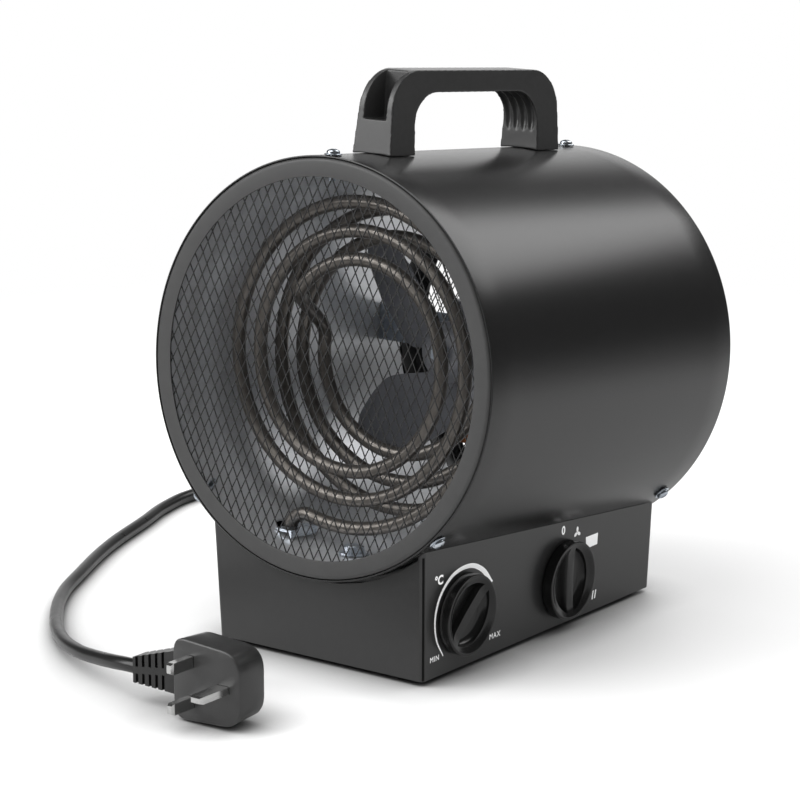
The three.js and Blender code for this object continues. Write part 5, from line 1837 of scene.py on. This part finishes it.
def smooth_value(shares: Sequence[float], values: Sequence[float], at: float) -> float:
    """Reads a smooth curve through known values.

    Args:
        shares: Where the values are known, in order.
        values: The values there.
        at: Where to read.

    Returns:
        The curve's value.
    """
    row = max(i for i in range(len(shares) - 1) if shares[i] <= at + 1e-9)
    span = shares[row + 1] - shares[row]
    t = (at - shares[row]) / span
    slopes = []
    for i in (row, row + 1):
        before, after = max(i - 1, 0), min(i + 1, len(shares) - 1)
        slopes.append((values[after] - values[before]) / (shares[after] - shares[before]) * span)
    return (values[row] * (2 * t ** 3 - 3 * t * t + 1) + slopes[0] * (t ** 3 - 2 * t * t + t)
            + values[row + 1] * (3 * t * t - 2 * t ** 3) + slopes[1] * (t ** 3 - t * t))


@dataclass
class FanParts:
    """The fan wheel: a hub with four twisted paddle blades.

    Attributes:
        shop: Makes the piece.
        radius: Radius of the wheel.
        hub: Radius of the hub.
        nose: Radius of the hub's front face, and depth of the cone behind it.
        hub_ends: Front and rear of the hub along the axis.
        bore: Radius of the hole for the shaft.
        blades: Number of blades.
        middle: Middle of the blades along the axis.
        thickness: Thickness of a blade.
        buried: How far the blades reach into the hub.
        twists: Pitch angles at the hub and at the tip, in degrees.
        stations: Shares of the blade's length where its shape is known.
        leads: Clock angles of the leading edge there, in degrees.
        widths: Widths of the blade there, in degrees.
        spans: Strips along a blade and across it.
    """

    shop: Workshop
    radius: float = 88.0
    hub: float = 18.0
    nose: Pair = (12.6, 4.4)
    hub_ends: Pair = (-5.7, 16.3)
    bore: float = 3.3
    blades: int = 4
    middle: float = 5.3
    thickness: float = 1.3
    buried: float = 1.3
    twists: Pair = (30.0, 19.0)
    stations: tuple[float, ...] = (0.0, 0.14, 0.31, 0.51, 0.69, 0.85, 0.95, 1.0)
    leads: tuple[float, ...] = (-138.0, -124.0, -117.0, -119.5, -123.5, -127.0, -131.0, -135.0)
    widths: tuple[float, ...] = (50.0, 60.0, 66.0, 47.0, 33.0, 22.0, 13.0, 4.0)
    spans: tuple[int, int] = (26, 12)

    def build(self) -> None:
        """Makes the wheel."""
        (front, rear), (tip, depth) = self.hub_ends, self.nose
        profile = rounded([(0, front), (tip, front), (self.hub, front + depth), (self.hub, rear),
                           (0, rear)], 1.2, 4)
        item = self.shop.raw("fan_blades", lathe(profile, 96), DRUM.matrix)
        blades = [self._blade(index) for index in range(self.blades)]
        self.shop.cut(item, blades, DRUM.matrix, "UNION")
        bore = rod(self.bore, (0, front - 2, 0), (0, rear + 2, 0), 48)
        self.shop.cut(item, [bore], DRUM.matrix)
        self.shop.bevel(item, 0.45, 2, 50)
        self.shop.bake(item)
        material = self.shop.materials.get("fan_plastic", FAN_FINISH)
        self.shop.finish(item, Slot.MOULDING, ["fan_wheel"], Body.FAN, material, 40)

    def _blade(self, index: int) -> Form:
        """Makes a blade.

        Args:
            index: Its number.

        Returns:
            The blade in the drum's frame.
        """
        root = self.hub - self.buried
        low, high = (math.radians(angle) for angle in self.twists)
        along, wide = self.spans
        sections: list[list[Vector]] = []
        for share in (1 - (1 - step / along) ** 1.5 for step in range(along + 1)):
            radius = root + (self.radius - root) * share
            lead = math.radians(smooth_value(self.stations, self.leads, share))
            lead += index * math.tau / self.blades
            width = math.radians(max(2.0, smooth_value(self.stations, self.widths, share)))
            twist = low + (high - low) * (radius - self.hub) / (self.radius - self.hub)
            half = self.thickness / 2 / math.cos(twist)
            near, far = [], []
            for step in range(wide + 1):
                turn = width / 2 - width * step / wide
                axial = self.middle - turn * radius * math.tan(twist)
                near.append(DRUM.around(lead - width / 2 + turn, radius, axial - half))
                far.append(DRUM.around(lead - width / 2 + turn, radius, axial + half))
            sections.append(near + far[::-1])
        return loft(sections)


@dataclass
class HandlePart:
    """The moulded handle that bows over the drum, in the drum's frame.

    Attributes:
        shop: Makes the piece.
        sunk: How far its feet reach under the tube's radius before they are cut to it.
        ends: Half length at its feet and at its shoulders.
        shoulder: Centre of the outer arcs, and their radii.
        opening: Half length of the room for the fingers.
        palm: Centre of the inner arcs, and their radii.
        widths: Half width at the feet and at the top.
        top: Height of its top over the axis.
        pocket: Half width, inner end, floor and roof of a screw pocket.
        hole: Radius of the screw holes.
        flutes: Number of finger flutes.
        flute_pitch: Distance between them.
        flute_radius: Radius of their cutter.
        voxels: A coarser size of the mesh's cells, and the size that is used.
    """

    shop: Workshop
    sunk: float = 8.0
    ends: Pair = (84.5, 82.3)
    shoulder: tuple[Pair, ...] = ((57, 141.5), (25.3, 23.5))
    opening: float = 61.0
    palm: tuple[Pair, ...] = ((39, 134), (22, 18.5))
    widths: Pair = (14.0, 10.5)
    top: float = 166.0
    pocket: tuple[float, ...] = (7.6, 63.5, 137.0, 168.0)
    hole: float = 2.7
    flutes: int = 4
    flute_pitch: float = 5.3
    flute_radius: float = 2.6
    voxels: Pair = (1.4, 0.55)

    def build(self) -> None:
        """Makes the handle."""
        foot = DRUM.radius - self.sunk
        item = self.shop.raw("grip_bow", self._bow(foot), DRUM.matrix)
        low, high = self.widths
        taper = prism([(-low, foot - 1), (low, foot - 1), (high, self.top), (-high, self.top)], -90, 90)
        self.shop.cut(item, [taper], DRUM.matrix, "INTERSECT")
        half, start, floor, roof = self.pocket
        cutters = [rod(DRUM.radius + TUBE_GAP, (0, -130, 0), (0, 130, 0), 256)]
        for y in HANDLE_SCREWS:
            near, far = sorted((math.copysign(start, y), math.copysign(90, y)))
            cutters.append(box_form((-half, near, floor), (half, far, roof)))
            cutters.append(rod(self.hole, (0, y, foot - 2), (0, y, self.palm[0][1]), 24))
        cutters += [self._flute((flute - (self.flutes - 1) / 2) * self.flute_pitch)
                    for flute in range(self.flutes)]
        self.shop.cut(item, cutters, DRUM.matrix)
        self.shop.melt(item, self.voxels[1], 2)
        self.shop.finish(item, Slot.MOULDING, ["handle"], angle=60)

    def _bow(self, foot: float) -> Form:
        """Makes the bow before it is tapered.

        Args:
            foot: Height of its feet.

        Returns:
            The bow.
        """
        (y, z), radii = self.shoulder
        outline = [(-self.ends[0], foot), (-self.ends[1], z)]
        outline += ellipse_arc((-y, z), radii, 180, 90, 24)[1:]
        outline += ellipse_arc((y, z), radii, 90, 0, 24)
        outline += [(self.ends[0], foot), (self.opening, foot)]
        (y, z), radii = self.palm
        outline += [(self.opening, z)]
        outline += ellipse_arc((y, z), radii, 0, 90, 24)[1:]
        outline += ellipse_arc((-y, z), radii, 90, 180, 24)
        outline += [(-self.opening, foot)]
        half = self.widths[0]
        return loft([[Vector((x, y, z)) for y, z in outline] for x in (-half, half)])

    def _flute(self, x: float) -> Form:
        """Makes the cutter of a finger flute, which runs along the underside of the bow.

        Args:
            x: Its place across the handle.

        Returns:
            The cutter.
        """
        (centre, height), (wide, high) = self.palm
        half: list[Pair] = []
        for step in range(25):
            share = step / 24
            turn = math.radians(90 * (1 - share))
            away = 1.0 + 0.5 * share ** 2
            half.append((centre + (wide - away) * math.cos(turn),
                         height + (high - away) * math.sin(turn)))
        for step in range(1, 7):
            half.append((59.5 - 2 * (step / 6) ** 1.5, height - 1.4 * step))
        path = [Vector((x, -y, z)) for y, z in reversed(half)] + [Vector((x, y, z)) for y, z in half]
        return sweep(path, self.flute_radius, 20)


@dataclass(frozen=True)
class Panel:
    """The base's side panel, which leans out a little.

    Attributes:
        half_width: Half width of the base at its lower edge.
        foot: Height of that edge.
        lean: How much wider the base gets with height.
    """

    half_width: float = 72.605
    foot: float = 3.0
    lean: float = 0.029

    @property
    def normal(self) -> Vector:
        """The panel's outward normal."""
        return Vector((1, 0, -self.lean)).normalized()

    def place(self, y: float, height: float, out: float = 0.0) -> Vector:
        """Gives a point on the panel.

        Args:
            y: Place along the base.
            height: Height over the panel's lower edge.
            out: Distance outwards from the panel.

        Returns:
            The point in millimetres.
        """
        return Vector((self.half_width + self.lean * height, y, self.foot + height)) + self.normal * out

    def matrix(self, y: float, height: float, out: float = 0.0, turn: float = 0.0) -> Matrix:
        """Gives the transform that stands flat work on the panel.

        Its X then runs rearward along the panel, its Y up the panel and its Z outwards.

        Args:
            y: Place along the base.
            height: Height over the panel's lower edge.
            out: Distance outwards from the panel.
            turn: Degrees clockwise, seen from outside.

        Returns:
            The transform in millimetres.
        """
        up = self.normal.cross(Vector((0, 1, 0))).normalized()
        frame = Matrix((Vector((0, 1, 0)), up, self.normal)).transposed().to_4x4()
        return (Matrix.Translation(self.place(y, height, out)) @ frame
                @ Matrix.Rotation(math.radians(-turn), 4, "Z"))


PANEL = Panel()


@dataclass(frozen=True)
class Word:
    """A printed word.

    Attributes:
        text: What it says.
        y: Place of its middle along the base.
        height: Height of its middle over the panel's lower edge.
        size: Size of its letters.
    """

    text: str
    y: float
    height: float
    size: float


@dataclass
class BaseParts:
    """The folded base with a dark rod of painted shade in its corner seam, and its print.

    Attributes:
        shop: Makes the pieces.
        front: Place of the base's front at its lower edge.
        lean: How much further forward the front gets with height.
        corner: Radius of the base's corner.
        seam: Where the rod of painted seam shade starts and ends over the lower edge.
        seam_turn: Clock angle of that rod on the corner, in degrees.
        seam_radius: Radius of that rod.
        gap: Distance of the print from the panel.
        ink: Thickness of the print.
        words: The printed words.
        large: Letters larger than this are bolder and closer.
        block: Outline of the printed block.
        block_place: Its place on the panel.
        stroke: Outline of a printed stroke.
        strokes: Shifts of the two strokes along the base.
        stroke_place: Their place on the panel.
        swell: Places along the swelling arc.
        swell_middle: Middle of that arc.
        swell_widths: Half width of the arc at its start, and how much it grows.
        symbol: Place of the fan symbol on the panel.
    """

    shop: Workshop
    front: float = -123.4
    lean: float = 0.036
    corner: float = 2.5
    seam: Pair = (0.6, 71.5)
    seam_turn: float = 58.0
    seam_radius: float = 0.8
    gap: float = 0.02
    ink: float = 0.05
    words: tuple[Word, ...] = (
        Word("MIN", -112.7, 10.9, 4.5), Word("MAX", -54.8, 10.1, 4.7),
        Word("°C", -110.4, 55.4, 7.2), Word("0", 12.3, 56.8, 7.0),
    )
    large: float = 6.0
    block: tuple[Pair, ...] = (
        (-1.9, -3.6), (6.0, -3.4), (6.4, 3.5), (-6.6, 3.5), (-6.2, -0.4))
    block_place: Pair = (43.2, 44.0)
    stroke: tuple[Pair, ...] = ((-0.9, -2.6), (0.1, -2.6), (1.1, 2.6), (0.1, 2.6))
    strokes: tuple[float, ...] = (-1.5, 1.2)
    stroke_place: Pair = (47.9, 9.7)
    swell: tuple[Pair, ...] = (
        (-104.7, 10.8), (-111.5, 22.0), (-113.0, 35.0), (-108.0, 47.3), (-96.4, 56.0),
        (-81.0, 57.4), (-68.6, 52.0), (-60.0, 42.6))
    swell_middle: Pair = (-87.0, 33.0)
    swell_widths: Pair = (0.35, 1.35)
    symbol: Pair = (27.2, 52.6)

    def build(self) -> None:
        """Makes the base and its print."""
        self.shop.keep_node("base_tub", Slot.BASE, 0.25)
        self._print(self.shop.materials.get("panel_print", INK))
        self._seam_shade()

    def _seam_shade(self) -> None:
        """Makes a near-black rod, sunk in the corner, as painted shade of the seam where the base's
        front meets its side.
        """
        turn = math.radians(self.seam_turn)
        way = Vector((math.sin(turn), -math.cos(turn), 0))
        ends = []
        for height in self.seam:
            corner = PANEL.place(self.front - self.lean * height, height)
            middle = corner + Vector((-self.corner, self.corner, 0))
            ends.append(middle + way * (self.corner - 0.5))
        # Painted shade: a near-black rod sunk in the corner shows as the dark line of the seam.
        item = self.shop.raw("corner_seam", rod(self.seam_radius, *ends, 20))
        material = self.shop.materials.get("seam_shadow", SEAM_SHADE_FINISH)
        self.shop.finish(item, Slot.BASE, [], material=material)

    def _flat(self, outline: Sequence[Pair], place: Pair) -> Form:
        """Makes a flat printed mark.

        Args:
            outline: Its outline.
            place: Its place on the panel.

        Returns:
            The mark.
        """
        mark = loft([[Vector((x, y, z)) for x, y in outline] for z in (0, self.ink)])
        return mark.moved(PANEL.matrix(*place, self.gap))

    def _print(self, ink: Material) -> None:
        """Makes the print as one piece.

        Args:
            ink: Its material.
        """
        marks = [self._flat(self.block, self.block_place)]
        marks += [self._flat([(shift + x, y) for x, y in self.stroke], self.stroke_place)
                  for shift in self.strokes]
        item = self.shop.raw("panel_marks", self._swell().joined(*marks, *self._fan_symbol()))
        made = [self._word(word) for word in self.words]
        with bpy.context.temp_override(active_object=item, selected_editable_objects=[item, *made]):
            bpy.ops.object.join()
        self.shop.finish(item, Slot.BASE, [], material=ink)

    def _word(self, word: Word) -> Object:
        """Makes a printed word.

        Args:
            word: The word.

        Returns:
            Its mesh object, in place.
        """
        curve = bpy.data.curves.new("word", "FONT")
        curve.body = word.text
        curve.size = word.size * MM
        curve.align_x = "CENTER"
        curve.align_y = "CENTER"
        curve.extrude = self.ink / 2 * MM
        curve.offset = 0.035 * word.size * MM if word.size > self.large else 0.0
        curve.space_character = 1.0 if word.size > self.large else 1.14
        holder = link(bpy.data.objects.new("word", curve))
        graph = bpy.context.evaluated_depsgraph_get()
        mesh = bpy.data.meshes.new_from_object(holder.evaluated_get(graph))
        bpy.data.objects.remove(holder)
        bpy.data.curves.remove(curve)
        spot = PANEL.matrix(word.y, word.height, self.gap + self.ink / 2)
        spot.translation *= MM
        mesh.transform(spot)
        return link(bpy.data.objects.new("word", mesh))

    def _swell(self) -> Form:
        """Makes the printed arc round the thermostat, which swells towards its end.

        Returns:
            The arc.
        """
        curve = through([(y, height, 0) for y, height in self.swell], 0.8)
        start, growth = self.swell_widths
        rows = []
        for i, place in enumerate(curve):
            half = start + growth * i / (len(curve) - 1)
            out = (place - Vector((*self.swell_middle, 0))).normalized() * half
            near, far = place - out, place + out
            rows.append([PANEL.place(edge.x, edge.y, level) for edge, level in (
                (near, self.gap), (far, self.gap), (far, self.gap + self.ink),
                (near, self.gap + self.ink))])
        return loft(rows)

    def _fan_symbol(self) -> list[Form]:
        """Makes the printed fan symbol.

        Returns:
            Its three blades.
        """
        made = []
        for turn in (math.radians(120 * blade) for blade in range(3)):
            cos, sin = math.cos(turn), math.sin(turn)
            outline = [(x * cos - y * sin, x * sin + y * cos)
                       for x, y in ellipse_arc((0, 1.9), (1.05, 1.75), 0, 345, 23)]
            made.append(self._flat(outline, self.symbol))
        return made


@dataclass(frozen=True)
class Knob:
    """One of the two knobs.

    Attributes:
        name: Name of its piece.
        place: Place of its axis on the panel.
        turn: Degrees clockwise of its bar at rest.
        body: Its body, which has the name of the CAD node that it stands for.
    """

    name: str
    place: Pair
    turn: float
    body: Body


@dataclass
class ControlParts:
    """The two knobs, each a dished disc with a bar between two scoops.

    Attributes:
        shop: Makes the pieces.
        knobs: The knobs.
        corners: Radius, height over the panel and rounding of each corner of the profile.
        bar: Half width of the bar at its foot and at its top.
        bore: Radius and top of the hole for the stem.
        lens: Half length and half width of the scoops together.
        scoop: Height of the scoops' floor, and where their cutter ends.
        steps: Height over that floor and narrowing of the scoops' sections.
    """

    shop: Workshop
    knobs: tuple[Knob, ...] = (
        Knob("thermostat_dial", (-87.4, 31.522), 48.0, Body.THERMOSTAT),
        Knob("selector_dial", (14.0, 27.493), 0.0, Body.SELECTOR),
    )
    corners: tuple[tuple[float, float, float], ...] = (
        (0, -8, 0), (5.5, -8, 0.4), (5.5, 0.8, 0.2), (23.2, 0.8, 0.5), (23.2, 7.4, 1.3),
        (21.8, 7.4, 0.5), (16.8, 5.1, 2.5), (0, 4.7, 0))
    bar: Pair = (4.5, 2.1)
    bore: Pair = (3.3, 0.8)
    lens: Pair = (20.0, 16.6)
    scoop: Pair = (1.4, 8.0)
    steps: tuple[Pair, ...] = ((0.0, 4.0), (0.4, 2.2), (1.6, 0.8), (3.2, 0.1))

    def build(self) -> None:
        """Makes both knobs."""
        for knob in self.knobs:
            self._knob(knob)

    def _knob(self, knob: Knob) -> None:
        """Makes a knob.

        Args:
            knob: The knob.
        """
        outline = rounded([(r, height) for r, height, _ in self.corners],
                          [reach for *_, reach in self.corners], 6)
        place = PART @ PANEL.matrix(*knob.place, 0.0, knob.turn)
        upright = place @ Matrix.Rotation(math.radians(90), 4, "X")
        item = self.shop.raw(knob.name, lathe(outline, 160), upright)
        low, high = self.bar
        bar = prism([(-low, 1), (low, 1), (high, 9), (-high, 9)], -24, 24)
        scoop = self.shop.raw("scoop", self._lens(), place)
        self.shop.cut(scoop, [bar], place)
        self.shop.cut_by(item, [scoop])
        radius, top = self.bore
        self.shop.cut(item, [rod(radius, (0, 0, -10), (0, 0, top), 48)], place)
        self.shop.bevel(item, 0.35, 3, 40)
        self.shop.bake(item)
        self.shop.finish(item, Slot.KNOB, [knob.body.value], knob.body)

    def _lens(self) -> Form:
        """Makes the cutter of the scoops, a lens with a rounded floor.

        Returns:
            The cutter, flat in X and Y.
        """
        length, width = self.lens
        radius = (length ** 2 + width ** 2) / (2 * width)
        half = math.asin(length / radius)
        outline = []
        for centre, start in ((width - radius, -half), (radius - width, math.pi - half)):
            for step in range(40):
                angle = start + 2 * half * step / 40
                outline.append((centre + radius * math.cos(angle), radius * math.sin(angle)))
        low, high = self.scoop
        sections = []
        for height, inset in (*((low + rise, inset) for rise, inset in self.steps), (high, 0.0)):
            share = 1 - inset / width
            sections.append([Vector((x * share, y * share, height)) for x, y in outline])
        return loft(sections)


def main() -> None:
    """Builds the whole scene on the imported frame."""
    logging.basicConfig(level=logging.INFO, format="%(name)s: %(message)s")
    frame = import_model()
    Studio().build()
    materials = MaterialMaker()
    shop = Workshop(frame["nodes"], materials)
    CordMaker(CORD, frame["nodes"]).build(materials.of(Slot.RUBBER), PlugPart(shop).build())
    for slot, names in NODE_SLOTS.items():
        for name in names.split():
            shop.keep_node(name, slot)
    for maker in (DrumParts(shop), HeatParts(shop), FanParts(shop), HandlePart(shop), BaseParts(shop),
                  ControlParts(shop)):
        maker.build()


if __name__ == "__main__":
    main()
